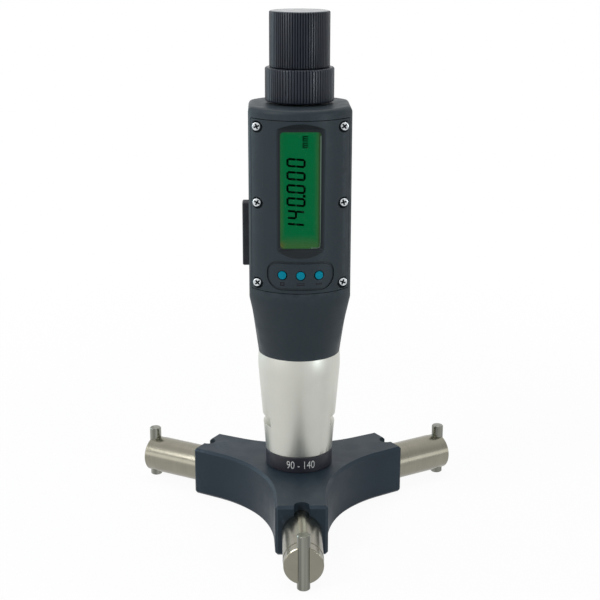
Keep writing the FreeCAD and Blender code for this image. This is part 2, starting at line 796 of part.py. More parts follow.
def bevel_gear(label, teeth, mate_teeth, bore_radius, hub_radius, hub_end, rim_thickness):
    """A bevel gear with its apex at the origin and its axis along Z, its gaps cut from a cone."""
    pitch_lean = math.atan2(teeth, mate_teeth)
    outer_reach = s.pinion_pitch_radius.value / math.sin(math.atan2(*sorted((teeth, mate_teeth))))
    inner_reach = outer_reach - s.gear_face_width.value
    root_lean = pitch_lean - s.tooth_dedendum.value / outer_reach
    tip_lean = pitch_lean + s.tooth_addendum.value / outer_reach
    outer_r, outer_z = outer_reach * math.sin(tip_lean), outer_reach * math.cos(tip_lean)
    inner_r, inner_z = inner_reach * math.sin(tip_lean), inner_reach * math.cos(tip_lean)
    rim_end = outer_reach * math.cos(root_lean) + rim_thickness
    blank = revolved([(bore_radius, inner_z), (inner_r, inner_z), (outer_r, outer_z), (outer_r, rim_end),
                      (hub_radius, rim_end), (hub_radius, hub_end), (bore_radius, hub_end)])
    feature = doc.addObject("Part::Feature", label)
    feature.Label = label
    feature.Shape = blank.cut(tooth_gaps(teeth, pitch_lean, root_lean, tip_lean, outer_reach))
    return feature


def crown_gear():
    """The driving gear, teeth down, pressed on the spindle above the three pinions."""
    teeth, mate = int(s.crown_teeth.value), int(s.pinion_teeth.value)
    apex = s.rod_axis_height
    gear = bevel_gear("crown_gear", teeth, mate, s.gear_seat_radius.value, s.crown_hub_radius.value,
                      (s.crown_top - apex).value, s.crown_rim_thickness.value)
    half_step_from_front = Rotation(Vector(0, 0, 1), 180.0 / teeth - 90)
    return put(gear, (0, 0, apex), half_step_from_front)


def bevel_pinion(arm, angle):
    """A driven pinion on the inner end of one lead screw."""
    teeth, mate = int(s.pinion_teeth.value), int(s.crown_teeth.value)
    gear = bevel_gear("bevel_pinion_" + arm, teeth, mate, s.pinion_bore_radius.value,
                      s.pinion_hub_radius.value, s.pinion_hub_end.value, s.pinion_rim_thickness.value)
    tooth_up = Rotation(Vector(0, 0, 1), 90)
    return put(gear, (0, 0, s.rod_axis_height), facing(angle) * tooth_up)


def range_ring():
    edge = s.ring_edge
    bore = s.spigot_radius + s.seat_gap
    return turned("range_ring", ((bore, s.head_height), (s.ring_radius - edge, s.head_height),
                                 (s.ring_radius, s.head_height + edge), (s.ring_radius, ring_top - edge),
                                 (s.ring_radius - edge, ring_top), (bore, ring_top)))


def coupling_sleeve():
    """The tapered sleeve between head and housing, with a flat on each side for a spanner."""
    body = new_body("coupling_sleeve")
    sketch = new_sketch(body, "sleeve_profile", "XZ_Plane")
    thread_bore = s.thread_spigot_radius + s.seat_gap
    wide_bore_start = ring_top + s.sleeve_bore_start
    shoulder = (s.sleeve_shoulder_radius, ring_top + s.sleeve_shoulder_height)
    belly = (s.sleeve_belly_radius, ring_top + s.sleeve_belly_height)
    rim = (s.sleeve_top_radius, sleeve_top)
    spigot_end = sleeve_top + s.sleeve_spigot_length
    straight = ((s.sleeve_spigot_radius, sleeve_top), (s.sleeve_spigot_radius, spigot_end),
                (s.sleeve_bore_radius, spigot_end), (s.sleeve_bore_radius, wide_bore_start),
                (thread_bore, wide_bore_start), (thread_bore, ring_top),
                (s.sleeve_bottom_radius - s.sleeve_edge, ring_top),
                (s.sleeve_bottom_radius, ring_top + s.sleeve_edge), shoulder)
    chain = (rim,) + straight
    corners = [Vector(number(x), number(y), 0) for x, y in chain]
    for edge, (start, end) in enumerate(zip(corners, corners[1:])):
        sketch.addGeometry(Part.LineSegment(start, end))
        fix_point(sketch, edge, 1, *chain[edge])
        if edge:
            sketch.addConstraint(Sketcher.Constraint("Coincident", edge - 1, 2, edge, 1))
    last = len(chain) - 2
    fix_point(sketch, last, 2, *shoulder)
    bulge = Part.Arc(corners[-1], Vector(number(belly[0]), number(belly[1]), 0), corners[0])
    arc = sketch.addGeometry(bulge)
    begins_low = sketch.Geometry[arc].StartPoint.y < number(belly[1])
    sketch.addConstraint(Sketcher.Constraint("Coincident", arc, 1 if begins_low else 2, last, 2))
    sketch.addConstraint(Sketcher.Constraint("Coincident", arc, 2 if begins_low else 1, 0, 1))
    top_point = sketch.addGeometry(Part.Point(Vector(number(belly[0]), number(belly[1]), 0)), True)
    fix_point(sketch, top_point, 1, *belly)
    sketch.addConstraint(Sketcher.Constraint("PointOnObject", top_point, 1, arc))
    revolution = body.newObject("PartDesign::Revolution", "sleeve_turned")
    revolution.Profile = sketch
    revolution.ReferenceAxis = (sketch, ["V_Axis"])
    revolution.Angle = 360
    body.Tip = revolution
    reach = s.sleeve_belly_radius + PAST
    flat = s.spanner_flat_half_width
    low = ring_top + s.spanner_flat_rise - s.spanner_flat_height / 2
    for side in (0, 180):
        flat_cut = box(body, "spanner_flat_%d" % side, (flat, -reach, low),
                       (reach, reach, low + s.spanner_flat_height))
        bearing = s.spanner_flat_turn + side
        sine = Size(math.sin(math.radians(bearing.value)), "sin(%s)" % bearing.text)
        cosine = Size(math.cos(math.radians(bearing.value)), "cos(%s)" % bearing.text)
        put(flat_cut, (cosine * flat + sine * reach, sine * flat - cosine * reach, low),
            Rotation(Vector(0, 0, 1), bearing.value))
    return body


def draw_section(sketch, radius, half_width, flat_sides=True):
    """The section about the axis: two bows, joined by flats or by arcs of the same circle."""
    corner = math.acos(number(half_width) / number(radius))
    spans = ((-corner, corner), (corner, math.pi - corner), (math.pi - corner, math.pi + corner),
             (math.pi + corner, 2 * math.pi - corner))
    circle = Part.Circle(Vector(), Vector(0, 0, 1), number(radius))
    for edge, (begin, end) in enumerate(spans):
        if flat_sides and edge % 2 == 0:
            sketch.addGeometry(Part.LineSegment(circle.value(begin), circle.value(end)))
            continue
        sketch.addGeometry(Part.ArcOfCircle(circle, begin, end))
        if flat_sides or edge < 3:
            sketch.addConstraint(Sketcher.Constraint("Coincident", edge, 3, -1, 1))
        if flat_sides or edge in (0, 3):
            fix_radius(sketch, edge, radius)
    for edge, side in enumerate((1, 1, -1, -1)):
        sketch.addConstraint(Sketcher.Constraint("Coincident", edge, 2, (edge + 1) % 4, 1))
        fix_coordinate(sketch, "DistanceX", edge, 1, side * half_width)


def draw_shell(sketch, outer, inner, chord):
    """A bowed plate in section: two arcs about the axis, cut off by a plane in front of it."""
    for edge, radius in enumerate((outer, inner)):
        begin = math.pi + math.asin(number(chord) / number(radius))
        circle = Part.Circle(Vector(), Vector(0, 0, 1), number(radius))
        sketch.addGeometry(Part.ArcOfCircle(circle, begin, 3 * math.pi - begin))
        sketch.addConstraint(Sketcher.Constraint("Coincident", edge, 3, -1, 1))
        fix_radius(sketch, edge, radius)
        for end in (1, 2):
            fix_coordinate(sketch, "DistanceY", edge, end, -chord)
    for end in (1, 2):
        outer_end, inner_end = (sketch.getPoint(edge, end) for edge in (0, 1))
        line = sketch.addGeometry(Part.LineSegment(outer_end, inner_end))
        sketch.addConstraint(Sketcher.Constraint("Coincident", line, 1, 0, end))
        sketch.addConstraint(Sketcher.Constraint("Coincident", line, 2, 1, end))


def blend(body, kind, name, bottom_radius, radius, half_width):
    """A straight-sided blend from the sleeve's round top up to the housing's own section."""
    low = new_sketch(body, name + "_low", height=sleeve_top)
    draw_section(low, bottom_radius, bottom_radius * half_width / radius, flat_sides=False)
    high = new_sketch(body, name + "_high", height=blend_top)
    draw_section(high, radius, half_width)
    loft = body.newObject("PartDesign::" + kind, name)
    loft.Profile = low
    loft.Sections = [high]
    loft.Ruled = True
    body.Tip = loft
    return loft


def cut(body, sketch, length, name):
    """Cut a sketch's outline against its normal."""
    pocket = body.newObject("PartDesign::Pocket", name)
    pocket.Profile = sketch
    bind(pocket, "Length", length)
    body.Tip = pocket
    return pocket


def rear_housing():
    """One moulding: round nose, flat-sided barrel open at the front, and closed top."""
    body = new_body("rear_housing")
    section = new_sketch(body, "housing_section", height=blend_top)
    draw_section(section, s.housing_radius, s.housing_half_width)
    padded(body, section, housing_top - blend_top, "barrel")
    blend(body, "AdditiveLoft", "nose", s.sleeve_top_radius, s.housing_radius, s.housing_half_width)
    doc.recompute()

    def is_top_rim(edge):
        return edge.BoundBox.ZMin > housing_top.value - s.seat_gap.value

    dress(body, "Fillet", edges_where(body.Tip.Shape, is_top_rim), s.housing_top_fillet, "top_rim")
    inner = new_sketch(body, "inner_section", height=ceiling)
    draw_section(inner, inner_radius, inner_half_width)
    cut(body, inner, ceiling - blend_top, "barrel_hollow")
    blend(body, "SubtractiveLoft", "nose_hollow", s.sleeve_spigot_radius + s.seat_gap, inner_radius,
          inner_half_width)
    wide = 2 * s.housing_radius
    box(body, "cover_opening", (-wide, -wide, cover_bottom), (wide, -parting_depth, cover_top))
    wall = inner_half_width + s.housing_wall / 4
    inner_face = screw_column - s.pillar_inward
    for row, level in SCREW_ROWS:
        for side, low, high in (("right", inner_face, wall), ("left", -wall, -inner_face)):
            box(body, "pillar_%s_%s" % (row, side), (low, -pillar_front, level - s.pillar_half_height),
                (high, -pillar_front + s.pillar_depth, level + s.pillar_half_height), add=True)
    for hole, (x, z) in enumerate(screw_places()):
        rod(body, "pillar_hole_%d" % hole, s.cover_screw_radius, s.cover_screw_length,
            (x, -parting_depth - s.seam, z), BACKWARD)
    box(body, "encoder_shelf", (-wall, -s.shelf_front, shelf_top - s.shelf_thickness),
        (wall, s.shelf_back, shelf_top), add=True)
    rod(body, "shelf_hole", s.shelf_hole_radius, 2 * s.shelf_thickness,
        (0, 0, shelf_top - 1.5 * s.shelf_thickness))
    rod(body, "top_bush_bore", s.bush_radius, 2 * s.housing_top_thickness, (0, 0, ceiling - PAST))
    tongue_half = s.port_cover_depth / 2 - s.port_tongue_inset
    box(body, "port_slot", (-s.housing_half_width - PAST, -tongue_half - s.seat_gap,
                            port_cover_bottom + s.port_tongue_inset - s.seat_gap),
        (-inner_half_width + PAST, tongue_half + s.seat_gap,
         port_cover_bottom + s.port_cover_height - s.port_tongue_inset + s.seat_gap))
    return body


def front_cover():
    """Bowed cover of the housing's front, with the display pocket, keypad groove and screw seats."""
    body = new_body("front_cover")
    bottom, top = cover_bottom + s.seam, cover_top - s.seam
    chord = parting_depth + s.seam
    ahead = s.housing_radius + PAST
    land_front = screw_surface - s.screw_land_sink
    land_outer = screw_column + s.screw_land_outward
    plate = new_sketch(body, "cover_section", height=bottom)
    draw_shell(plate, s.housing_radius, inner_radius, chord)
    padded(body, plate, top - bottom, "plate")
    keypad = new_sketch(body, "keypad_outline", "XZ_Plane", ahead)
    draw_rounded_rectangle(keypad, keypad_height, s.keypad_half_width, s.keypad_half_height,
                           s.keypad_upper_corner, s.keypad_lower_corner)
    narrow = s.keypad_groove_width
    draw_rounded_rectangle(keypad, keypad_height, s.keypad_half_width - narrow, s.keypad_half_height - narrow,
                           s.keypad_upper_corner - narrow, s.keypad_lower_corner - narrow)
    cut(body, keypad, ahead - parting_depth, "keypad_groove")
    deep = s.keypad_groove_depth
    floor_half = s.keypad_half_height + deep
    groove_floor = new_sketch(body, "groove_floor_section", height=keypad_height - floor_half)
    draw_shell(groove_floor, s.housing_radius - deep, inner_radius, chord + deep)
    padded(body, groove_floor, 2 * floor_half, "groove_floor")
    box(body, "window_frame", (-s.frame_half_width, s.seat_gap - pocket_floor, pane_bottom - PAST),
        (s.frame_half_width, -frame_back, pane_top + PAST), add=True)
    pocket = new_sketch(body, "pocket_profile", "YZ_Plane", s.housing_half_width)
    rise = ahead - pocket_floor
    draw_outline(pocket, ((-pocket_floor, pocket_bottom), (-pocket_floor, pocket_top),
                          (-ahead, pocket_top + s.pocket_upper_slope * rise),
                          (-ahead, pocket_bottom - s.pocket_lower_slope * rise)))
    cut(body, pocket, 2 * s.housing_half_width, "display_pocket")
    window = new_sketch(body, "window_outline", "XZ_Plane", ahead)
    draw_rounded_rectangle(window, (window_bottom + window_top) / 2, s.window_half_width,
                           (window_top - window_bottom) / 2, s.window_corner, s.window_corner)
    cut(body, window, ahead - parting_depth, "window_opening")
    for index, (_, x) in enumerate(BUTTONS):
        rod(body, "button_hole_%d" % index, s.button_radius + s.button_gap, ahead - parting_depth,
            (x, -ahead, button_height), BACKWARD)
    for index, (x, z) in enumerate(screw_places()):
        side = 1 if x.value > 0 else -1
        low, high = sorted((side * screw_land_inner, side * land_outer), key=number)
        box(body, "screw_land_%d" % index, (low, -land_front, z - s.screw_land_half_height),
            (high, -chord, z + s.screw_land_half_height), add=True)
        rod(body, "screw_seat_%d" % index, s.screw_seat_radius, ahead - screw_seat_depth, (x, -ahead, z),
            BACKWARD)
        rod(body, "screw_passage_%d" % index, s.cover_screw_radius + s.loose_gap,
            ahead - parting_depth + PAST, (x, -ahead, z), BACKWARD)
    return body


def cover_screws():
    profile = ((0, 0), (s.cover_screw_head_radius, 0), (s.cover_screw_head_radius, s.cover_screw_head_height),
               (s.cover_screw_radius, s.cover_screw_head_height),
               (s.cover_screw_radius, s.cover_screw_head_height + s.cover_screw_length),
               (0, s.cover_screw_head_height + s.cover_screw_length))
    head_front = -screw_seat_depth - s.cover_screw_head_height
    places = [((x, head_front, z), BACKWARD) for x, z in screw_places()]
    return fastener_group("cover_screws", profile, places)


def slab(label, half_width, depth_front, depth_back, low, high):
    """A flat rectangular piece that stands across the housing, between two depths from the axis."""
    body = new_body(label)
    box(body, label + "_block", (-half_width, -depth_front, low), (half_width, -depth_back, high), add=True)
    return body


def display_window():
    """Clear pane: a flange behind the frame and a raised face that fills the opening."""
    body = slab("display_window", pane_half_width, pane_front, pane_back, pane_bottom, pane_top)
    face = new_sketch(body, "face_outline", "XZ_Plane", pane_back + s.pane_thickness / 2)
    corner = s.window_corner - s.seat_gap
    draw_rounded_rectangle(face, (window_bottom + window_top) / 2, s.window_half_width - s.seat_gap,
                           (window_top - window_bottom) / 2 - s.seat_gap, corner, corner)
    padded(body, face, pocket_floor - s.window_recess - pane_back - s.pane_thickness / 2, "face")
    return body


def button(label, x):
    """A round key on a wider flange, with a plunger towards the rubber mat."""
    surface = root(s.housing_radius * s.housing_radius - x * x)
    flange_back = button_flange_front - s.button_flange_thickness
    plunger_end = mat_front + s.button_plunger_gap
    face = surface + s.button_proud
    return turned(label, ((0, plunger_end), (s.button_plunger_radius, plunger_end),
                          (s.button_plunger_radius, flange_back), (s.button_flange_radius, flange_back),
                          (s.button_flange_radius, button_flange_front),
                          (s.button_radius, button_flange_front), (s.button_radius, face - s.button_edge),
                          (s.button_radius - s.button_edge, face), (0, face)),
                  (x, 0, button_height), OUTWARD)


def port_cover():
    """Dark cover on the left flat, with a tongue in the housing's slot."""
    body = new_body("port_cover")
    flat = -s.housing_half_width
    half_depth = s.port_cover_depth / 2
    high = port_cover_bottom + s.port_cover_height
    box(body, "lid", (flat - s.port_cover_proud, -half_depth, port_cover_bottom),
        (flat - s.seat_gap, half_depth, high), add=True)
    doc.recompute()

    def is_outer_edge(edge):
        return edge.BoundBox.XMin < number(flat - s.port_cover_proud) + s.seat_gap.value

    dress(body, "Chamfer", edges_where(body.Tip.Shape, is_outer_edge), s.port_cover_edge, "lid_edges")
    inset = s.port_tongue_inset
    box(body, "tongue", (flat - s.port_cover_proud / 2, inset - half_depth, port_cover_bottom + inset),
        (flat + s.port_tongue_length, half_depth - inset, high - inset), add=True)
    return body


def battery():
    edge = s.battery_edge
    return turned("battery", ((0, 0), (s.battery_radius - edge, 0), (s.battery_radius, edge),
                              (s.battery_radius, s.battery_thickness), (0, s.battery_thickness)),
                  (0, battery_seat - s.battery_thickness - s.seat_gap, battery_height), BACKWARD)


def spindle():
    """The central shaft, from the pivot in the base plate up to the knob's retaining screw."""
    foot = s.base_thickness + 3 * s.seat_gap
    seat_end = s.crown_top + 2 * s.seat_gap
    pivot_end = s.crown_top - s.crown_hub_length
    return turned("spindle", ((0, foot), (s.pivot_radius, foot),
                              (s.pivot_radius, pivot_end), (s.gear_seat_radius, pivot_end),
                              (s.gear_seat_radius, seat_end), (s.spindle_radius, seat_end),
                              (s.spindle_radius, collar_top), (s.stem_radius, collar_top),
                              (s.stem_radius, stem_top), (s.knob_screw_radius, stem_top),
                              (s.knob_screw_radius, stem_top - s.knob_screw_length),
                              (0, stem_top - s.knob_screw_length)))


def ribbed(body, name, radius, depth, low, high):
    """Cut evenly spaced upright V grooves into a round side, between two levels."""
    half_pitch = math.pi / s.rib_count.value
    half_groove = radius * (1 - s.rib_land) * half_pitch
    beyond = depth * 1.2
    sketch = new_sketch(body, name + "_groove", height=high)
    draw_outline(sketch, ((radius - depth, 0), (radius - depth + beyond, -half_groove * 1.2),
                          (radius - depth + beyond, half_groove * 1.2)))
    groove = cut(body, sketch, high - low, name)
    return around(body, [groove], s.rib_count, name + "_pattern")


def thimble_collar():
    """Ribbed collar that is fixed on the spindle and turns it without the friction drive."""
    body = turned("thimble_collar",
                  ((s.spindle_radius, collar_bottom + s.collar_recess_height),
                   (s.collar_recess_radius, collar_bottom + s.collar_recess_height),
                   (s.collar_recess_radius, collar_bottom), (s.collar_radius, collar_bottom),
                   (s.collar_radius, collar_top), (s.spindle_radius, collar_top)))
    ribbed(body, "collar_ribs", s.collar_radius, s.collar_rib_depth, collar_bottom, collar_top)
    return body


def knob():
    """Ribbed knob that slips on its spring washers once the contact pins touch."""
    bore = s.stem_radius + s.turning_fit
    cap_seat = s.cap_radius + s.seat_gap
    recess = s.knob_screw_recess_radius
    recess_floor = stem_top - s.loose_gap
    body = turned("knob", ((bore, knob_cavity_top), (s.knob_cavity_radius, knob_cavity_top),
                           (s.knob_cavity_radius, knob_bottom), (s.knob_radius, knob_bottom),
                           (s.knob_radius, knob_top - s.knob_edge_height), (s.knob_top_radius, knob_top),
                           (cap_seat, knob_top), (cap_seat, cap_bottom), (recess, cap_bottom),
                           (recess, recess_floor), (bore, recess_floor)))
    ribbed(body, "knob_ribs", s.knob_radius, s.knob_rib_depth, knob_bottom, knob_top - s.knob_edge_height)
    return body


def spring_washers():
    """Three conical washers, placed edge to edge between the friction disc and the knob."""
    inner, outer = s.stem_radius + s.loose_gap, s.spring_washer_radius
    thick = s.spring_washer_thickness
    pitch = (knob_cavity_top - friction_disc_top) / 3
    rise = pitch - thick - s.seat_gap
    washers = []
    for index in range(3):
        low = friction_disc_top + pitch * index + s.seat_gap / 2
        inner_low, outer_low = (low + rise, low) if index % 2 == 0 else (low, low + rise)
        section = ((inner, inner_low), (outer, outer_low), (outer, outer_low + thick),
                   (inner, inner_low + thick))
        washers.append(turned("spring_washer_%d" % index, section))
    group = doc.addObject("Part::Compound", "spring_washers")
    group.Links = washers
    group.Label = "spring_washers"
    return group


def knob_screw():
    tip = stem_top - s.knob_screw_length
    return turned("knob_screw", ((0, tip), (s.knob_screw_radius, tip),
                                 (s.knob_screw_radius, stem_top), (s.knob_screw_head_radius, stem_top),
                                 (s.knob_screw_head_radius, stem_top + s.knob_screw_head_height),
                                 (0, stem_top + s.knob_screw_head_height)))


def ring(label, inner, outer, low, high):
    """A plain turned ring, or a disc if the inner radius is nought."""
    return turned(label, ((inner, low), (outer, low), (outer, high), (inner, high)))


shaft_bore = s.spindle_radius + s.turning_fit
flange_bottom = ceiling - s.seat_gap - s.bush_flange_height
holder_half = s.battery_radius + s.holder_rim
nodes = [
    measuring_head(), base_plate(), base_screws(), guide_keys(),
    ring("lower_bush", shaft_bore, s.bush_radius, s.cavity_top + 2 * s.seat_gap, spigot_top),
    range_ring(), coupling_sleeve(),
    ring("middle_bush", shaft_bore, s.sleeve_bore_radius - s.seat_gap, middle_bush_bottom,
         middle_bush_bottom + s.middle_bush_height),
    rear_housing(), front_cover(), cover_screws(), display_window(),
    slab("lcd_panel", pane_half_width, display_front, display_back, pane_bottom, pane_top),
    slab("lcd_backlight", pane_half_width, display_back - s.seat_gap, board_front + s.seat_gap,
         pane_bottom, pane_top),
    slab("circuit_board", board_half_width, board_front, board_back, board_bottom, board_top),
    slab("key_mat", s.mat_half_width, mat_front, mat_front - s.mat_thickness,
         button_height - s.mat_half_height, button_height + s.mat_half_height),
]
nodes += [button("button_" + place, x) for place, x in BUTTONS]
nodes += [
    port_cover(),
    turned("upper_bush", ((shaft_bore, flange_bottom), (s.bush_flange_radius, flange_bottom),
                          (s.bush_flange_radius, ceiling - s.seat_gap), (s.bush_radius, ceiling - s.seat_gap),
                          (s.bush_radius, housing_top - s.seat_gap), (shaft_bore, housing_top - s.seat_gap))),
    ring("encoder_stator", s.stator_bore_radius, stator_radius, shelf_top + s.seat_gap,
         shelf_top + s.seat_gap + s.stator_thickness),
    turned("encoder_rotor", ((s.spindle_radius, rotor_bottom), (rotor_radius, rotor_bottom),
                             (rotor_radius, rotor_bottom + s.rotor_thickness),
                             (s.rotor_hub_radius, rotor_bottom + s.rotor_thickness),
                             (s.rotor_hub_radius, rotor_bottom + s.rotor_thickness + s.rotor_hub_height),
                             (s.spindle_radius, rotor_bottom + s.rotor_thickness + s.rotor_hub_height))),
    battery(),
    slab("battery_holder", s.holder_half_width, -battery_seat, -holder_back,
         battery_height - holder_half, battery_height + holder_half),
    spindle(), crown_gear(), thimble_collar(),
    ring("friction_disc", s.stem_radius, s.friction_disc_radius, collar_top + s.seat_gap, friction_disc_top),
    spring_washers(), knob(),
    ring("knob_cap", 0, s.cap_radius, cap_bottom + s.seat_gap, knob_top),
    knob_screw(),
]
for arm, angle in ARMS:
    nodes += [lead_screw(arm, angle), bevel_pinion(arm, angle)]
    nodes += [measuring_rod(arm, angle), contact_pin(arm, angle)]

doc.recompute()
for thing in doc.Objects:
    if "Invalid" in thing.State or "Error" in thing.State:
        raise RuntimeError("%s is not built: %s" % (thing.Label, thing.State))
for node in nodes:
    if node.Shape.isNull() or not node.Shape.isValid() or not node.Shape.Solids:
        raise RuntimeError("%s has no sound shape" % node.Label)
    node.Shape.exportStep("parts/%s.step" % node.Label)
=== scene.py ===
import math

import bmesh
import bpy
from bpy.props import FloatProperty, FloatVectorProperty, IntProperty, PointerProperty, StringProperty
from mathutils import Euler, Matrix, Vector


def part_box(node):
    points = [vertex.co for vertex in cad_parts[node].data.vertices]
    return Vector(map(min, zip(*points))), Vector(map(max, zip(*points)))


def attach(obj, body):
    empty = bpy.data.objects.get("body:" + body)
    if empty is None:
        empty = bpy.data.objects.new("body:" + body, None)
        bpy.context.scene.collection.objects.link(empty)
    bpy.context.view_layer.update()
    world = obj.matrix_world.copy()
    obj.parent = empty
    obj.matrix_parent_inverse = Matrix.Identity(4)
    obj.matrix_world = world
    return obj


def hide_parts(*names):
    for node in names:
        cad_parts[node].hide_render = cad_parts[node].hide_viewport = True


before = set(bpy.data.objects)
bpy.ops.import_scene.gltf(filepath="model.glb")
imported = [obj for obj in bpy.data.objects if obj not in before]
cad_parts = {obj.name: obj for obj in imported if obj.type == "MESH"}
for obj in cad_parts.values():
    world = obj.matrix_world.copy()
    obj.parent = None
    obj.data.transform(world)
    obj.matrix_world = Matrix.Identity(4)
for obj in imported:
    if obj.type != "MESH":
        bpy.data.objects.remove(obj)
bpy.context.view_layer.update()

bl_info = {
    "name": "Inside micrometer",
    "version": (1, 0, 0),
    "blender": (4, 5, 0),
    "location": "3D View > Sidebar > Micrometer",
    "description": "Dresses the packed inside micrometer with finishes, ribbed grips, display and markings",
    "category": "Object",
}

MM = 0.001
SIDES = ("front", "right", "left")
ARM_ANGLES = (0, 120, -120)


# Values that a user would change


def srgb(red, green, blue):
    """A display colour from 0 to 255 as the linear one that Blender's sockets take."""
    linear = []
    for value in (red / 255, green / 255, blue / 255):
        linear.append(value / 12.92 if value <= 0.04045 else ((value + 0.055) / 1.055) ** 2.4)
    return tuple(linear)


def length(name, description, millimetres):
    return FloatProperty(name=name, description=description, default=millimetres * MM, precision=5,
                         unit="LENGTH", subtype="DISTANCE")


def colour(name, description, red, green, blue):
    return FloatVectorProperty(name=name, description=description, default=srgb(red, green, blue), size=3,
                               min=0, max=1, subtype="COLOR")


def share(name, description, default):
    return FloatProperty(name=name, description=description, default=default, min=0, max=1, subtype="FACTOR")


def angle(name, description, radians):
    return FloatProperty(name=name, description=description, default=radians, unit="ROTATION",
                         subtype="ANGLE")


def power(name, description, watts):
    return FloatProperty(name=name, description=description, default=watts, unit="POWER")


class GripSizes(bpy.types.PropertyGroup):
    """The ribbed collar and the ribbed friction knob."""

    rib_count: IntProperty(name="Ribs", description="Ribs round the collar and round the knob", default=72,
                           min=12)
    knob_depth: length("Knob rib depth", "Depth of the grooves between the knob's ribs", 0.42)
    collar_depth: length("Collar rib depth", "Depth of the grooves between the collar's ribs", 0.40)
    crest: share("Crest width", "Share of each rib's pitch that stays near its crest", 0.45)
    edge: length("End rounding", "Rounding at the collar's ends", 0.6)
    foot: length("Knob foot", "Rounding at the knob's lower end", 0.1)
    chamfer: length("Knob chamfer", "Height of the chamfer round the knob's top", 0.35)
    samples: IntProperty(name="Samples", description="Points across one rib", default=10, min=4)


class DisplaySizes(bpy.types.PropertyGroup):
    """The reading, which runs from the bottom of the display to its top."""

    reading: StringProperty(name="Reading", description="Digits that the display shows", default="140.000")
    digit_height: length("Digit height", "Height of a digit", 6.9)
    digit_width: length("Digit width", "Width of a digit", 3.3)
    digit_pitch: length("Digit pitch", "From one digit to the next", 4.71)
    digit_slant: share("Digit slant", "How far a digit leans forwards, as a share of its height", 0.08)
    digit_top: length("Digit top", "Place of the digits' top edge, left of the middle", 5.06)
    reading_end: length("Reading end", "Height at which the last digit ends", 141.2)
    stroke: length("Stroke", "Width of a display segment", 0.82)
    ink: length("Ink", "Thickness of the segments on the panel", 0.03)
    pane_edge: length("Pane edge", "Rounding along the pane's face", 0.3)
    # Painted highlight: a pale strip down the pane's right edge stands for the glint of its rounded edge.
    glint_width: length("Glint width", "Width of the painted glint down the pane's right edge", 0.42)


class MarkSizes(bpy.types.PropertyGroup):
    """Markings and small fasteners."""

    range_text: StringProperty(name="Range", description="Range marked on the ring", default="90 - 140")
    range_width: length("Range width", "Length of the marking along the ring", 10.94)
    range_height: length("Range height", "Height of the marking's figures", 3.0)
    range_bottom: length("Range foot", "Height at which the figures stand", 21.18)
    range_turn: angle("Range turn", "Turn of the marking from the front", math.radians(1.85))
    icon_height: length("Icon level", "Height of the signs under the buttons", 96.4)
    paint: length("Paint", "Thickness of printed markings", 0.03)
    cross_width: length("Cross width", "Width of a slot in the screws' cross recess", 0.62)
    cross_length: length("Cross length", "Length of a slot in the screws' cross recess", 2.2)
    cross_depth: length("Cross depth", "Depth of the screws' cross recess", 0.75)


class Colours(bpy.types.PropertyGroup):
    """The finishes' colours."""

    housing: colour("Housing", "Moulded housing", 43, 52, 58)
    grips: colour("Grips", "Knob and cap", 30, 35, 45)
    # Painted light: the collar's colour is a lighter copy of the grips' colour, standing for the light that
    # falls on it.
    collar: colour("Collar", "Ribbed collar", 40, 45, 54)
    head: colour("Head", "Coated measuring head", 38, 50, 60)
    ring: colour("Ring", "Range ring", 36, 36, 45)
    sleeve: colour("Sleeve", "Satin sleeve", 211, 211, 203)
    steel: colour("Rods", "Ground measuring rods", 148, 145, 132)
    pins: colour("Pins", "Contact pins", 142, 143, 134)
    chrome: colour("Screws", "Bright screws", 226, 232, 235)
    buttons: colour("Buttons", "Soft buttons", 0, 128, 152)
    cover: colour("Port cover", "Rubber port cover", 32, 36, 42)
    lit: colour("Display", "Lit display", 8, 94, 54)
    rim: colour("Display rim", "Display towards its edges", 50, 90, 50)
    segments: colour("Segments", "Dark segments of the reading", 3, 7, 5)
    marking: colour("Marking", "Printed figures", 226, 226, 224)


class StageSizes(bpy.types.PropertyGroup):
    """Camera and studio."""

    camera_place: FloatVectorProperty(name="Camera", description="Place of the camera", size=3,
                                      default=(-0.01229, -0.48304, 0.22331), unit="LENGTH",
                                      subtype="TRANSLATION")
    pitch: angle("Pitch", "Tilt of the camera below the horizon", math.radians(16.013))
    heading: angle("Heading", "Turn of the camera round the upright axis", math.radians(-1.4576))
    roll: angle("Roll", "Roll of the camera about its own axis", 0.0019)
    lens: FloatProperty(name="Lens", description="Focal length in millimetres", default=79.83)
    shift: FloatProperty(name="Shift", description="Sideways shift of the picture", default=0.0014)
    key_power: power("Key light", "Power of the left softbox", 2.9)
    fill_power: power("Fill light", "Power of the right strip", 0.85)
    top_power: power("Top light", "Power of the overhead softbox", 2.4)
    rim_power: power("Rim light", "Power of the panel behind on the left", 0.6)
    ambient: share("Ambient", "Strength of the room's light", 0.27)


SETTINGS = {"micrometer_grips": GripSizes, "micrometer_display": DisplaySizes, "micrometer_marks": MarkSizes,
            "micrometer_colours": Colours, "micrometer_stage": StageSizes}


# Node trees


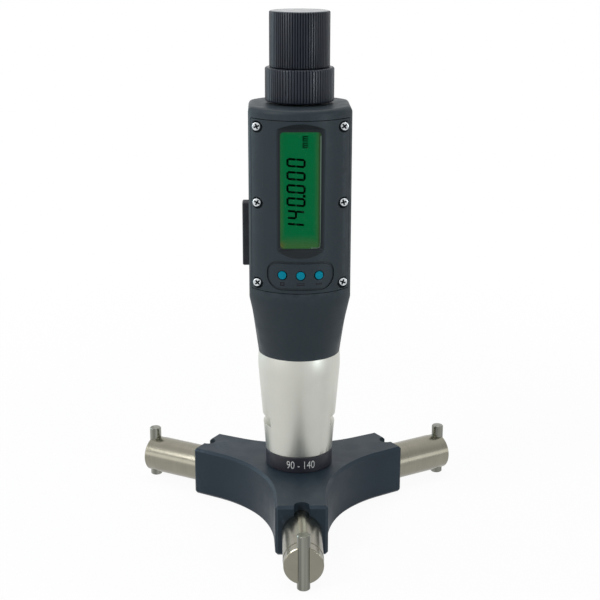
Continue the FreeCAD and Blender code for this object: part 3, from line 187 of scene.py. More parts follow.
class Tree:
    """A node tree being wired: adds nodes, sets their plain values and joins their sockets."""

    def __init__(self, tree):
        self.tree = tree

    def feed(self, socket, value):
        if isinstance(value, bpy.types.NodeSocket):
            self.tree.links.new(value, socket)
        elif socket.type == "RGBA" and len(value) == 3:
            socket.default_value = (*value, 1)
        else:
            socket.default_value = value

    def node(self, kind, settings=None, **inputs):
        made = self.tree.nodes.new(kind)
        for name, value in (settings or {}).items():
            setattr(made, name, value)
        for name, value in inputs.items():
            self.feed(made.inputs[name.replace("_", " ")], value)
        return made

    def row(self, made, *values):
        """Feeds a node's inputs in their order, and gives back the node."""
        for socket, value in zip(made.inputs, values):
            self.feed(socket, value)
        return made

    def math(self, operation, *values):
        return self.row(self.node("ShaderNodeMath", {"operation": operation}), *values).outputs["Value"]

    def times(self, first, second):
        return self.math("MULTIPLY", first, second)

    def vector(self, operation, value):
        return self.row(self.node("ShaderNodeVectorMath", {"operation": operation}), value)

    def scaled(self, tone, factor):
        made = self.vector("SCALE", tone)
        self.feed(made.inputs["Scale"], factor)
        return made.outputs[0]

    def span(self, value, low, high, to_low=0.0, to_high=1.0, smooth=True):
        """The value carried from one range to another, and held at its ends."""
        kind = "SMOOTHSTEP" if smooth else "LINEAR"
        made = self.node("ShaderNodeMapRange", {"interpolation_type": kind}, Value=value, From_Min=low,
                         From_Max=high, To_Min=to_low, To_Max=to_high)
        return made.outputs["Result"]

    def blend(self, factor, first, second):
        made = self.node("ShaderNodeMix", {"data_type": "RGBA"}, Factor=factor)
        self.feed(made.inputs[6], first)
        self.feed(made.inputs[7], second)
        return made.outputs[2]

    def shaders(self, factor, first, second):
        return self.row(self.node("ShaderNodeMixShader"), factor, first, second).outputs[0]

    def noise(self, place, size, detail=3.0):
        """Even noise whose spots are about that size in metres, which may be a number or a socket."""
        scale = self.math("DIVIDE", 1.0, size) if isinstance(size, bpy.types.NodeSocket) else 1 / size
        return self.node("ShaderNodeTexNoise", Vector=place, Scale=scale, Detail=detail).outputs["Fac"]

    def place(self):
        return self.node("ShaderNodeTexCoord").outputs["Object"]

    def parts(self, vector=None):
        """Across, forth and up of a vector, or of the point's own place."""
        return self.node("ShaderNodeSeparateXYZ", Vector=vector or self.place()).outputs

    def effect(self, name, **inputs):
        """One of the shared effects, with this finish's own values."""
        return self.node("ShaderNodeGroup", {"node_tree": effect_tree(name)}, **inputs).outputs[0]

    def mottled(self, tone, spot, amount):
        return self.effect("Mottle", Color=tone, Spot=spot, Amount=amount)


class Finish(Tree):
    """A material of this object: a Principled shader and the nodes that feed it."""

    def __init__(self, name, **inputs):
        self.material = bpy.data.materials.new(name)
        self.material.use_nodes = True
        super().__init__(self.material.node_tree)
        self.shader = self.tree.nodes["Principled BSDF"]
        self.set(**inputs)

    def set(self, **inputs):
        for name, value in inputs.items():
            self.feed(self.shader.inputs[name.replace("_", " ")], value)

    def bump(self, height, distance):
        self.set(Normal=self.node("ShaderNodeBump", Height=height, Distance=distance).outputs["Normal"])


def effect_tree(name, kind="ShaderNodeTree"):
    """A shared node group, built the first time it is asked for."""
    if name not in bpy.data.node_groups:
        EFFECTS[name](bpy.data.node_groups.new(name, kind))
    return bpy.data.node_groups[name]


def open_group(tree, output, *inputs):
    """Declares a group's sockets and gives back its wiring helper, its input node and its output socket."""
    for label, kind, default in inputs:
        socket = tree.interface.new_socket(label, in_out="INPUT", socket_type="NodeSocket" + kind)
        if default is not None:
            socket.default_value = default
    label, kind = output
    tree.interface.new_socket(label, in_out="OUTPUT", socket_type="NodeSocket" + kind)
    entry = tree.nodes.new("NodeGroupInput")
    leave = tree.nodes.new("NodeGroupOutput")
    return Tree(tree), entry.outputs, leave.inputs[label]


def build_mottle(tree):
    """A colour that drifts a little lighter and darker over the surface."""
    wiring, given, result = open_group(tree, ("Color", "Color"), ("Color", "Color", None),
                                       ("Spot", "Float", 0.006), ("Amount", "Float", 0.1))
    spots = wiring.noise(wiring.place(), given["Spot"], 4.0)
    drift = wiring.times(wiring.math("SUBTRACT", spots, 0.5), given["Amount"])
    wiring.feed(result, wiring.scaled(given["Color"], wiring.math("MULTIPLY_ADD", drift, 2.0, 1.0)))


def build_grain(tree):
    """Height of a fine moulded or blasted grain, with a few coarser pits."""
    wiring, given, result = open_group(tree, ("Height", "Float"), ("Spot", "Float", 0.0003))
    place = wiring.place()
    scale = wiring.math("DIVIDE", 1.0, given["Spot"])
    fine = wiring.node("ShaderNodeTexNoise", Vector=place, Scale=scale, Detail=2.0)
    cells = wiring.node("ShaderNodeTexVoronoi", Vector=place, Scale=wiring.times(scale, 0.6))
    wiring.feed(result, wiring.math("MULTIPLY_ADD", cells.outputs["Distance"], 0.6, fine.outputs["Fac"]))


def build_rings(tree):
    """Height of fine turning marks, as bands of uneven width along a given coordinate."""
    wiring, given, result = open_group(tree, ("Height", "Float"), ("Along", "Float", 0.0),
                                       ("Pitch", "Float", 0.0003))
    turns = wiring.math("DIVIDE", given["Along"], given["Pitch"])
    wide, fine = (wiring.node("ShaderNodeTexNoise", {"noise_dimensions": "1D"}, W=turns, Scale=scale,
                              Detail=detail).outputs["Fac"] for scale, detail in ((0.35, 3.0), (1.0, 1.0)))
    wiring.feed(result, wiring.math("MULTIPLY_ADD", wide, 0.7, fine))


def build_worn_and_lit_edges(tree):
    """Mask of the outer edges, in patches, where a finish is painted paler: partly wear from handling,
    partly a painted highlight where edges catch the light.
    """
    wiring, given, result = open_group(tree, ("Mask", "Float"), ("From", "Float", 0.52),
                                       ("To", "Float", 0.62), ("Spot", "Float", 0.002))
    edges = wiring.node("ShaderNodeNewGeometry").outputs["Pointiness"]
    patches = wiring.span(wiring.noise(wiring.place(), given["Spot"], 4.0), 0.35, 0.62)
    wiring.feed(result, wiring.times(wiring.span(edges, given["From"], given["To"]), patches))


def build_arm_distance(tree):
    """How far a point lies from the upright axis, measured along the arm that it is on."""
    wiring, _, result = open_group(tree, ("Along", "Float"))
    place = wiring.place()
    reaches = []
    for degrees in ARM_ANGLES:
        dot = wiring.vector("DOT_PRODUCT", place)
        dot.inputs[1].default_value = (math.sin(math.radians(degrees)), -math.cos(math.radians(degrees)), 0)
        reaches.append(dot.outputs["Value"])
    wiring.feed(result, wiring.math("MAXIMUM", wiring.math("MAXIMUM", reaches[0], reaches[1]), reaches[2]))


def build_recess(tree):
    """Mask of what lies deeper than the barrel's surface, by its reach from the upright axis."""
    wiring, given, result = open_group(tree, ("Mask", "Float"), ("From", "Float", 0.021),
                                       ("To", "Float", 0.0205))
    across, forth, _ = wiring.parts()
    reach = wiring.math("SQRT", wiring.math("MULTIPLY_ADD", forth, forth, wiring.math("POWER", across, 2.0)))
    wiring.feed(result, wiring.span(reach, given["From"], given["To"]))


def build_smoothing(tree):
    """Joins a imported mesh's faces and smooths them, all but the edges sharper than an angle."""
    wiring, given, result = open_group(tree, ("Geometry", "Geometry"), ("Geometry", "Geometry", None),
                                       ("Angle", "Float", None))
    joined = wiring.node("GeometryNodeMergeByDistance", Geometry=given["Geometry"], Distance=1e-6).outputs[0]
    between = wiring.node("GeometryNodeInputMeshEdgeAngle").outputs["Unsigned Angle"]
    flat = wiring.node("FunctionNodeCompare", {"operation": "LESS_THAN"}, A=between, B=given["Angle"])
    faces = wiring.node("GeometryNodeSetShadeSmooth", {"domain": "FACE"}, Geometry=joined)
    edges = wiring.node("GeometryNodeSetShadeSmooth", {"domain": "EDGE"}, Geometry=faces.outputs["Geometry"],
                        Shade_Smooth=flat.outputs["Result"])
    wiring.feed(result, edges.outputs["Geometry"])


SMOOTHING = "Smooth but for sharp edges"
EFFECTS = {SMOOTHING: build_smoothing, "Mottle": build_mottle, "Grain": build_grain, "Rings": build_rings,
           "Wear": build_worn_and_lit_edges, "Arm distance": build_arm_distance, "Recess": build_recess}


# Finishes


def moulded(name, base, roughness, spot=0.00035, depth=0.000012, specular=0.4, edge_wear_and_highlight=0.12, recess=None):
    """Moulded plastic or rubber: drifting colour, fine grain, outer edges painted paler (partly wear, partly
    painted highlight) and, if asked, painted shade on what lies deeper than the barrel's surface.
    """
    finish = Finish(name, Specular_IOR_Level=specular)
    tone = finish.mottled(base, 0.009, 0.10)
    if recess:
        # Painted shade: within the display's pocket, what lies deeper than the barrel's surface is painted
        # darker, where shade falls.
        across, _, up = finish.parts()
        pocket_side, pocket_middle, groove_top, pocket_foot = 9.2 * MM, 7.3 * MM, 105.5 * MM, 106.3 * MM
        inside = finish.span(finish.math("ABSOLUTE", across), pocket_side, pocket_middle, 0.12, 1.0)
        pocket = finish.times(inside, finish.span(up, groove_top, pocket_foot, 0.25, 1.0))
        painted_shade_depth = finish.effect("Recess", From=recess - 0.04 * MM, To=recess - 0.24 * MM)
        dark = tuple(channel * 0.38 for channel in base)
        tone = finish.blend(finish.times(painted_shade_depth, pocket), tone, dark)
    # Outer edges painted paler: partly wear, partly painted highlight.
    worn_and_lit_edges = finish.effect("Wear", From=0.53, To=0.66, Spot=0.003)
    paler = tuple(min(1.0, channel * 1.7 + 0.015) for channel in base)
    patches = finish.noise(finish.place(), 0.004)
    finish.set(Base_Color=finish.blend(finish.times(worn_and_lit_edges, edge_wear_and_highlight * 3), tone, paler),
               Roughness=finish.span(patches, 0.3, 0.7, roughness - 0.04, roughness + 0.05))
    finish.bump(finish.effect("Grain", Spot=spot), depth)
    return finish.material


def coated_steel(name, base):
    """Dark coated steel of the head: a satin blasted face whose corners are painted paler, partly as wear
    and partly as a painted highlight.
    """
    finish = Finish(name, Metallic=0.15, Specular_IOR_Level=0.22)
    # Corners painted paler: partly wear, partly painted highlight.
    worn_and_lit_edges = finish.effect("Wear", From=0.54, To=0.68, Spot=0.0015)
    paler = tuple(channel * 2.2 + 0.02 for channel in base)
    finish.set(Base_Color=finish.blend(finish.times(worn_and_lit_edges, 0.35), finish.mottled(base, 0.012, 0.10), paler),
               Roughness=finish.span(finish.noise(finish.place(), 0.006), 0.3, 0.7, 0.40, 0.48))
    finish.bump(finish.effect("Grain", Spot=0.00022), 0.000008)
    return finish.material


def ground_rods(name, base):
    """Ground steel of the measuring rods, with rings from turning towards their outer ends."""
    finish = Finish(name, Metallic=1.0)
    ringed_from, ringed_to = 60 * MM, 64.5 * MM
    along = finish.effect("Arm distance")
    rings = finish.effect("Rings", Along=along, Pitch=0.00035)
    streak = finish.span(rings, 0.45, 1.15, 0.92, 1.06, smooth=False)
    towards_tip = finish.span(along, ringed_from, ringed_to, 0.25, 1.0)
    finish.set(Base_Color=finish.scaled(finish.mottled(base, 0.004, 0.10), streak),
               Roughness=finish.span(rings, 0.4, 1.2, 0.17, 0.27, smooth=False))
    finish.bump(finish.times(rings, towards_tip), 0.000008)
    return finish.material


def satin_metal(name, base, roughness, depth=0.000006, along=False, drawn=0.0):
    """Blasted and plated metal, with a fine sparkle and faint drawn streaks."""
    finish = Finish(name, Metallic=1.0)
    place = finish.place()
    tone = finish.mottled(base, 0.01, 0.05)
    stretched = finish.node("ShaderNodeMapping", Vector=place, Scale=(1.0, 1.0, 0.04 if along else 1.0))
    streaks = finish.noise(stretched.outputs["Vector"], 0.0006)
    if drawn:
        marks = finish.node("ShaderNodeMapping", Vector=place, Scale=(1.0, 1.0, 0.02))
        bands = finish.noise(marks.outputs["Vector"], 0.0016, 1.0)
        tone = finish.scaled(tone, finish.span(bands, 0.32, 0.68, 1 - drawn, 1 + drawn * 0.4))
    finish.set(Base_Color=tone, Roughness=finish.span(streaks, 0.3, 0.7, roughness - 0.04, roughness + 0.04))
    grain = finish.effect("Grain", Spot=0.00016)
    finish.bump(finish.math("MULTIPLY_ADD", streaks, 0.5 if along else 0.0, grain), depth)
    return finish.material


def bright_screws(base, front):
    """Plated screw heads, rougher inside the cross and down their sides, and painted near black there as
    painted shade.
    """
    finish = Finish("Bright screws", Metallic=1.0)
    # Painted shade: the cross recess and the head's sides are painted near black.
    painted_shade_depth = finish.span(finish.parts()["Y"], front + 0.25 * MM, front + 0.6 * MM)
    finish.set(Base_Color=finish.blend(painted_shade_depth, finish.mottled(base, 0.0009, 0.30), srgb(28, 32, 36)),
               Roughness=finish.span(painted_shade_depth, 0.0, 1.0, 0.14, 0.5))
    finish.bump(finish.noise(finish.place(), 0.0007), 0.00004)
    return finish.material


def turned_metal(name, base, roughness):
    """Turned metal of the inner works, with marks round the upright axis."""
    finish = Finish(name, Metallic=1.0)
    rings = finish.effect("Rings", Along=finish.parts()["Z"], Pitch=0.00025)
    finish.set(Base_Color=finish.mottled(base, 0.003, 0.12),
               Roughness=finish.span(rings, 0.4, 1.2, roughness - 0.06, roughness + 0.06, smooth=False))
    finish.bump(rings, 0.00001)
    return finish.material


def printed(name, base, roughness=0.45, specular=0.3):
    """Printed ink with a slightly uneven density."""
    finish = Finish(name, Specular_IOR_Level=specular, Roughness=roughness)
    finish.set(Base_Color=finish.mottled(base, 0.0006, 0.08))
    return finish.material


def lit_panel(colours):
    """Lit display: green in the middle, olive towards its edges and brown in its lower left corner."""
    low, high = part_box("display_window")
    fade_top, fade_foot = 139 * MM, 120 * MM
    finish = Finish("Lit display", Roughness=0.6, Specular_IOR_Level=0.0, Emission_Strength=1.0)
    across, _, up = finish.parts()
    right = finish.span(across, 4.4 * MM, 7.4 * MM)
    bottom = finish.span(up, low.z + 6.5 * MM, low.z + 1.6 * MM)
    top = finish.span(up, high.z - 3.2 * MM, high.z - 0.8 * MM, 0.0, 0.6)
    left = finish.times(finish.span(across, -5.4 * MM, -7.3 * MM),
                        finish.span(up, fade_top, fade_foot, 0.2, 0.8))
    edges = finish.math("MAXIMUM", finish.math("MAXIMUM", right, bottom), finish.math("MAXIMUM", top, left))
    glow = finish.blend(edges, colours.lit, colours.rim)
    shade = finish.times(finish.span(across, 6.0 * MM, 6.9 * MM), 0.8)
    glow = finish.blend(shade, glow, srgb(40, 58, 36))
    brown = finish.times(finish.span(across, -5.0 * MM, -7.2 * MM),
                         finish.span(up, low.z + 4.6 * MM, low.z + 1.8 * MM, 0.0, 0.7))
    glow = finish.mottled(finish.blend(brown, glow, srgb(88, 84, 46)), 0.0035, 0.05)
    finish.set(Base_Color=finish.scaled(glow, 0.02), Emission_Color=glow)
    return finish.material


def clear_pane():
    """Clear acrylic of the display's window."""
    finish = Finish("Clear acrylic", Metallic=0.0, Transmission_Weight=1.0, IOR=1.045,
                    Base_Color=(0.97, 0.99, 0.98))
    smears = finish.noise(finish.place(), 0.006, 4.0)
    finish.set(Roughness=finish.span(smears, 0.35, 0.75, 0.0, 0.004))
    return finish.material


def glossy_ribs(name, base, top=None):
    """Black plated grips: satin sides with crests painted paler and, above a given height, a polished top
    face painted lighter and bluer as a painted reflection.
    """
    finish = Finish(name, Specular_IOR_Level=0.35)
    # Rib crests and edges painted paler: partly wear, partly painted highlight.
    worn_and_lit_edges = finish.effect("Wear", From=0.50, To=0.60, Spot=0.004)
    paler = tuple(channel * 1.5 + 0.01 for channel in base)
    tone = finish.blend(finish.times(worn_and_lit_edges, 0.4), finish.mottled(base, 0.007, 0.14), paler)
    roughness = finish.span(finish.noise(finish.place(), 0.004), 0.3, 0.7, 0.30, 0.38)
    if top:
        # Painted reflection: the polished top face is painted a lighter, bluer tone where it mirrors the
        # studio.
        face = finish.span(finish.parts()["Z"], top - 0.12 * MM, top - 0.04 * MM)
        tone = finish.blend(face, tone, finish.mottled(srgb(52, 66, 78), 0.004, 0.08))
        roughness = finish.math("SUBTRACT", roughness, finish.times(face, 0.18))
        finish.set(Metallic=finish.times(face, 0.2))
    finish.set(Base_Color=tone, Roughness=roughness)
    return finish.material


# Mesh helpers


def smooth(piece, degrees=30):
    modifier = piece.modifiers.new("Smooth", "NODES")
    modifier.node_group = effect_tree(SMOOTHING, "GeometryNodeTree")
    modifier[modifier.node_group.interface.items_tree["Angle"].identifier] = math.radians(degrees)


def round_edges(piece, width):
    modifier = piece.modifiers.new("Rounded edges", "BEVEL")
    modifier.width = width
    modifier.segments = 2
    modifier.limit_method = "ANGLE"
    modifier.angle_limit = math.radians(40)
    modifier.harden_normals = True


def dress(names, material, degrees=30, edge=0.0):
    """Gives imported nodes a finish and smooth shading, and rounds their edges if a width is given."""
    for name in names:
        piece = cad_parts[name]
        for slot in piece.material_slots:
            slot.material = material
        smooth(piece, degrees)
        if edge:
            round_edges(piece, edge)


def add_object(name, data):
    """A new object, linked to the scene."""
    made = bpy.data.objects.new(name, data)
    bpy.context.scene.collection.objects.link(made)
    return made


def settled_mesh(piece):
    """The mesh that an object's modifiers or text leave, as a mesh of its own."""
    bpy.context.view_layer.update()
    return bpy.data.meshes.new_from_object(piece.evaluated_get(bpy.context.evaluated_depsgraph_get()))


def make_piece(name, work, material, body, replaced=(), degrees=30):
    """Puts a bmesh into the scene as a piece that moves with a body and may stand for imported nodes."""
    mesh = close_mesh(name, work)
    piece = add_object(name, mesh)
    mesh.materials.clear()
    mesh.materials.append(material)
    smooth(piece, degrees)
    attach(piece, body)
    if replaced:
        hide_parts(*replaced)


def close_mesh(name, work):
    """Tidies a bmesh and gives it back as a mesh."""
    bmesh.ops.remove_doubles(work, verts=work.verts, dist=1e-7)
    bmesh.ops.dissolve_degenerate(work, edges=work.edges, dist=1e-8)
    bmesh.ops.recalc_face_normals(work, faces=work.faces)
    mesh = bpy.data.meshes.new(name)
    work.to_mesh(mesh)
    work.free()
    return mesh


def lathe(section, steps, radius_at=None, place=None):
    """Turns a closed section of (radius, height, rib share) rows, and puts each point where place says."""
    work = bmesh.new()
    rings = []
    for radius, height, ribbed in section:
        ring = []
        for step in range(steps):
            turn = math.tau * step / steps
            reach = radius - (radius_at(turn) * ribbed if radius_at and ribbed else 0)
            point = Vector((reach * math.sin(turn), -reach * math.cos(turn), height))
            ring.append(work.verts.new(place(point) if place else point))
        rings.append(ring)
    for row, ring in enumerate(rings):
        following = rings[(row + 1) % len(rings)]
        if section[row][0] < 1e-9 and section[(row + 1) % len(rings)][0] < 1e-9:
            continue
        for step in range(steps):
            after = (step + 1) % steps
            work.faces.new((ring[step], ring[after], following[after], following[step]))
    return work


def rounded(corner_radius, centre_radius, centre_height, start, end, steps=4, ribbed=0.0):
    """Rows of a rounded corner in a section, between two directions in degrees."""
    rows = []
    for step in range(steps + 1):
        turn = math.radians(start + (end - start) * step / steps)
        rows.append((centre_radius + corner_radius * math.cos(turn),
                     centre_height + corner_radius * math.sin(turn), ribbed))
    return rows


def prism(work, low, high):
    """A closed body between two outlines with as many points."""
    low, high = ([work.verts.new(point) for point in outline] for outline in (low, high))
    work.faces.new(high)
    work.faces.new(list(reversed(low)))
    for index in range(len(low)):
        after = (index + 1) % len(low)
        work.faces.new((low[index], low[after], high[after], high[index]))


def raised(outlines, height, place, work=None):
    """Flat outlines of (across, up) points raised by a height, on the surface that place describes."""
    work = work or bmesh.new()
    for outline in outlines:
        prism(work, *([place(across, up, out) for across, up in outline] for out in (0.0, height)))
    return work


def box_outline(left, foot, right, top):
    return [(left * MM, foot * MM), (right * MM, foot * MM), (right * MM, top * MM), (left * MM, top * MM)]


def lettering(text, width, height, depth, place, strip, weight):
    """Figures fitted to a width and a height, and laid on the surface that place describes."""
    curve = bpy.data.curves.new("figures", "FONT")
    curve.body = text
    curve.extrude = 0.5
    curve.resolution_u = 8
    curve.offset = weight
    carrier = add_object("figures", curve)
    mesh = settled_mesh(carrier)
    bpy.data.objects.remove(carrier)
    bpy.data.curves.remove(curve)
    figures = bmesh.new()
    figures.from_mesh(mesh)
    bpy.data.meshes.remove(mesh)
    xs = [vertex.co.x for vertex in figures.verts]
    ys = [vertex.co.y for vertex in figures.verts]
    left, foot = min(xs), min(ys)
    scale_x, scale_y = width / (max(xs) - left), height / (max(ys) - foot)
    for vertex in figures.verts:
        vertex.co = ((vertex.co.x - left) * scale_x, (vertex.co.y - foot) * scale_y,
                     depth if vertex.co.z > 0 else 0.0)
    for index in range(1, int(width / strip)):
        everything = figures.verts[:] + figures.edges[:] + figures.faces[:]
        bmesh.ops.bisect_plane(figures, geom=everything, plane_co=(index * strip, 0, 0), plane_no=(1, 0, 0))
    for vertex in figures.verts:
        vertex.co = place(*vertex.co)
    return figures


def on_barrel(radius, from_angle, from_height):
    """Place for a marking wrapped round an upright barrel."""
    def place(across, up, out):
        turn = from_angle + across / radius
        reach = radius + out
        return Vector((reach * math.sin(turn), -reach * math.cos(turn), from_height + up))
    return place


# Ribbed grips


def rib_groove(sizes, depth):
    """Depth of the ribbed side below its crests, by the turn round the axis."""
    half_groove = (1 - sizes.crest) / 2

    def depth_at(turn):
        within = (turn * sizes.rib_count / math.tau + 0.5) % 1.0
        from_groove = abs(within - 0.5) / half_groove
        if from_groove >= 1:
            return 0.0
        return depth * (0.5 + 0.5 * math.cos(math.pi * from_groove)) ** 0.85
    return depth_at


def knob_section(sizes):
    """Section of the knob's shell, outside first, then down round the cap's seat and the spring cavity."""
    low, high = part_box("knob")
    radius, edge = high.x, sizes.foot
    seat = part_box("knob_cap")[1].x + 0.05 * MM
    cap_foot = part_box("knob_cap")[0].z
    stem, screw_recess, cavity = 2.53 * MM, 3.4 * MM, 8.6 * MM
    recess_floor, cavity_top = cap_foot - 2.25 * MM, low.z + 6.75 * MM
    shoulder = high.z - sizes.chamfer
    rim = 10.6 * MM
    return [(cavity, low.z, 0), *rounded(edge, radius - edge, low.z + edge, -90, 0, 3, 1.0),
            (radius, shoulder - 0.1 * MM, 1.0), (radius - 0.08 * MM, shoulder + 0.08 * MM, 0.8),
            (rim, high.z - 0.06 * MM, 0.0), (rim - 0.12 * MM, high.z, 0), (seat, high.z, 0),
            (seat, cap_foot, 0), (screw_recess, cap_foot, 0), (screw_recess, recess_floor, 0),
            (stem, recess_floor, 0), (stem, cavity_top, 0), (cavity, cavity_top, 0)]


def collar_section(sizes):
    """Section of the collar: ribbed outside, plain top and a recess below."""
    low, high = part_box("thimble_collar")
    radius, edge = high.x, sizes.edge
    bore, recess, recess_top = 3.0 * MM, 8.0 * MM, low.z + 2.4 * MM
    return [(recess, low.z, 0), *rounded(edge, radius - edge, low.z + edge, -90, 0, 4, 1.0),
            *rounded(edge, radius - edge, high.z - edge, 0, 90, 4, 1.0),
            (radius - edge - sizes.collar_depth * 1.3, high.z, 0), (bore, high.z, 0), (bore, recess_top, 0),
            (recess, recess_top, 0)]


class MICROMETER_OT_rib_knob(bpy.types.Operator):
    """Make the ribbed friction knob and finish its cap"""

    bl_idname = "micrometer.rib_knob"
    bl_label = "Knob"

    def execute(self, context):
        sizes = context.scene.micrometer_grips
        finish = glossy_ribs("Ribbed grip", context.scene.micrometer_colours.grips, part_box("knob")[1].z)
        work = lathe(knob_section(sizes), sizes.rib_count * sizes.samples,
                     rib_groove(sizes, sizes.knob_depth))
        make_piece("ribbed_knob", work, finish, "knob", ["knob"], 35)
        dress(["knob_cap"], finish, edge=0.12 * MM)
        return {"FINISHED"}


class MICROMETER_OT_rib_collar(bpy.types.Operator):
    """Make the ribbed collar under the knob"""

    bl_idname = "micrometer.rib_collar"
    bl_label = "Collar"

    def execute(self, context):
        sizes = context.scene.micrometer_grips
        # Painted light: the collar takes the lighter copy of the grips' colour.
        finish = glossy_ribs("Ribbed collar", context.scene.micrometer_colours.collar)
        work = lathe(collar_section(sizes), sizes.rib_count * sizes.samples,
                     rib_groove(sizes, sizes.collar_depth))
        make_piece("ribbed_collar", work, finish, "spindle", ["thimble_collar"], 35)
        return {"FINISHED"}


# Head, rods and sleeve


class MICROMETER_OT_finish_head(bpy.types.Operator):
    """Finish the three-armed head, its base plate and their fasteners"""

    bl_idname = "micrometer.finish_head"
    bl_label = "Measuring head"

    def execute(self, context):
        colours = context.scene.micrometer_colours
        dress(["measuring_head"], coated_steel("Coated head", colours.head), edge=0.15 * MM)
        dress(["base_plate"], satin_metal("Base plate steel", srgb(150, 150, 150), 0.4), edge=0.1 * MM)
        dress(["base_screws"], satin_metal("Screw steel", srgb(120, 120, 122), 0.3), edge=0.08 * MM)
        dress(["guide_keys"], satin_metal("Key steel", srgb(150, 150, 148), 0.3))
        return {"FINISHED"}


class MICROMETER_OT_finish_rods(bpy.types.Operator):
    """Finish the three measuring rods and their contact pins"""

    bl_idname = "micrometer.finish_rods"
    bl_label = "Measuring rods"

    def execute(self, context):
        colours = context.scene.micrometer_colours
        dress(["measuring_rod_" + side for side in SIDES], ground_rods("Ground rods", colours.steel),
              edge=0.1 * MM)
        dress(["contact_pin_" + side for side in SIDES],
              satin_metal("Contact pins", colours.pins, 0.15, depth=0.000002, drawn=0.3), edge=0.1 * MM)
        return {"FINISHED"}


class MICROMETER_OT_finish_sleeve(bpy.types.Operator):
    """Finish the tapered satin sleeve"""

    bl_idname = "micrometer.finish_sleeve"
    bl_label = "Sleeve"

    def execute(self, context):
        finish = satin_metal("Satin sleeve", context.scene.micrometer_colours.sleeve, 0.40, along=True)
        dress(["coupling_sleeve"], finish, edge=0.08 * MM)
        return {"FINISHED"}


class MICROMETER_OT_mark_ring(bpy.types.Operator):
    """Finish the range ring and print its figures"""

    bl_idname = "micrometer.mark_ring"
    bl_label = "Range ring"

    def execute(self, context):
        sizes, colours = context.scene.micrometer_marks, context.scene.micrometer_colours
        dress(["range_ring"], moulded("Ring paint", colours.ring, 0.40, depth=0.000006), edge=0.1 * MM)
        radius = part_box("range_ring")[1].x - 0.004 * MM
        start = sizes.range_turn - sizes.range_width / 2 / radius
        work = lettering(sizes.range_text, sizes.range_width, sizes.range_height, sizes.paint,
                         on_barrel(radius, start, sizes.range_bottom), strip=0.4 * MM, weight=-0.012)
        make_piece("range_figures", work, printed("Printed figures", colours.marking), "body")
        return {"FINISHED"}


# Housing


class MICROMETER_OT_finish_housing(bpy.types.Operator):
    """Finish the housing, its front cover and the port cover, and close the seam with a near-black strip
    painted as its shade
    """

    bl_idname = "micrometer.finish_housing"
    bl_label = "Housing"

    def execute(self, context):
        colours = context.scene.micrometer_colours
        plastic = {"roughness": 0.46, "spot": 0.00028, "depth": 0.000010, "specular": 0.2}
        dress(["rear_housing"], moulded("Moulded housing", colours.housing, **plastic), degrees=32)
        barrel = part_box("rear_housing")[1].y
        dress(["front_cover"], moulded("Moulded cover", colours.housing, recess=barrel, **plastic),
              degrees=20, edge=0.12 * MM)
        dress(["port_cover"],
              moulded("Port cover rubber", colours.cover, 0.55, depth=0.000015, specular=0.3))
        low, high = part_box("front_cover")
        thick = 0.24 * MM
        work = raised(seam_strip_outlines(high.x / MM, low.z / MM, high.z / MM), thick,
                      lambda across, up, out: Vector((across, high.y + thick - out, up)))
        # Painted shade: a near-black strip in the seam stands for the shade inside the gap.
        rubber = moulded("Gasket rubber", srgb(9, 10, 13), 0.7, depth=0.000015, specular=0.2, edge_wear_and_highlight=0.0)
        make_piece("seam_gasket", work, rubber, "body")
        return {"FINISHED"}


def seam_strip_outlines(side, foot, top):
    """A thin frame behind the front cover's edge, which closes the seam and is painted near black as the
    shade inside it.
    """
    outer, inner, low, high = side - 0.35, side - 1.5, foot + 0.35, top - 0.35
    return [box_outline(-outer, low, outer, low + 1.0), box_outline(-outer, high - 1.0, outer, high),
            box_outline(-outer, low + 1.0, -inner, high - 1.0),
            box_outline(inner, low + 1.0, outer, high - 1.0)]


def cross_screw(sizes, radius, head_height, shank_radius, screw_length):
    """Mesh of one screw that points up, with a rounded head and a tapered cross recess."""
    edge = 0.32 * MM
    tip = -head_height - screw_length
    section = [(0, 0.0, 0), (radius * 0.5, -0.02 * MM, 0),
               *rounded(edge, radius - edge, -edge - 0.08 * MM, 80, 0, 5), (radius, -head_height, 0),
               (shank_radius, -head_height, 0), (shank_radius, tip + 0.3 * MM, 0),
               (shank_radius - 0.3 * MM, tip, 0), (0, tip, 0)]
    head = add_object("screw_blank", close_mesh("screw_blank", lathe(section, 40)))
    work = bmesh.new()
    for long, wide in ((sizes.cross_length, sizes.cross_width), (sizes.cross_width, sizes.cross_length)):
        prism(work, *([(x * long / 2 * narrow, y * wide / 2 * narrow, level)
                       for x, y in ((-1, -1), (1, -1), (1, 1), (-1, 1))]
                      for level, narrow in ((-sizes.cross_depth, 0.62), (0.2 * MM, 1.08))))
    cutter = add_object("cross", close_mesh("cross", work))
    cut = head.modifiers.new("Cross", "BOOLEAN")
    cut.operation = "DIFFERENCE"
    cut.object = cutter
    cut.solver = "EXACT"
    cut.use_self = True
    result = settled_mesh(head)
    for scratch in (head, cutter):
        bpy.data.objects.remove(scratch)
    return result


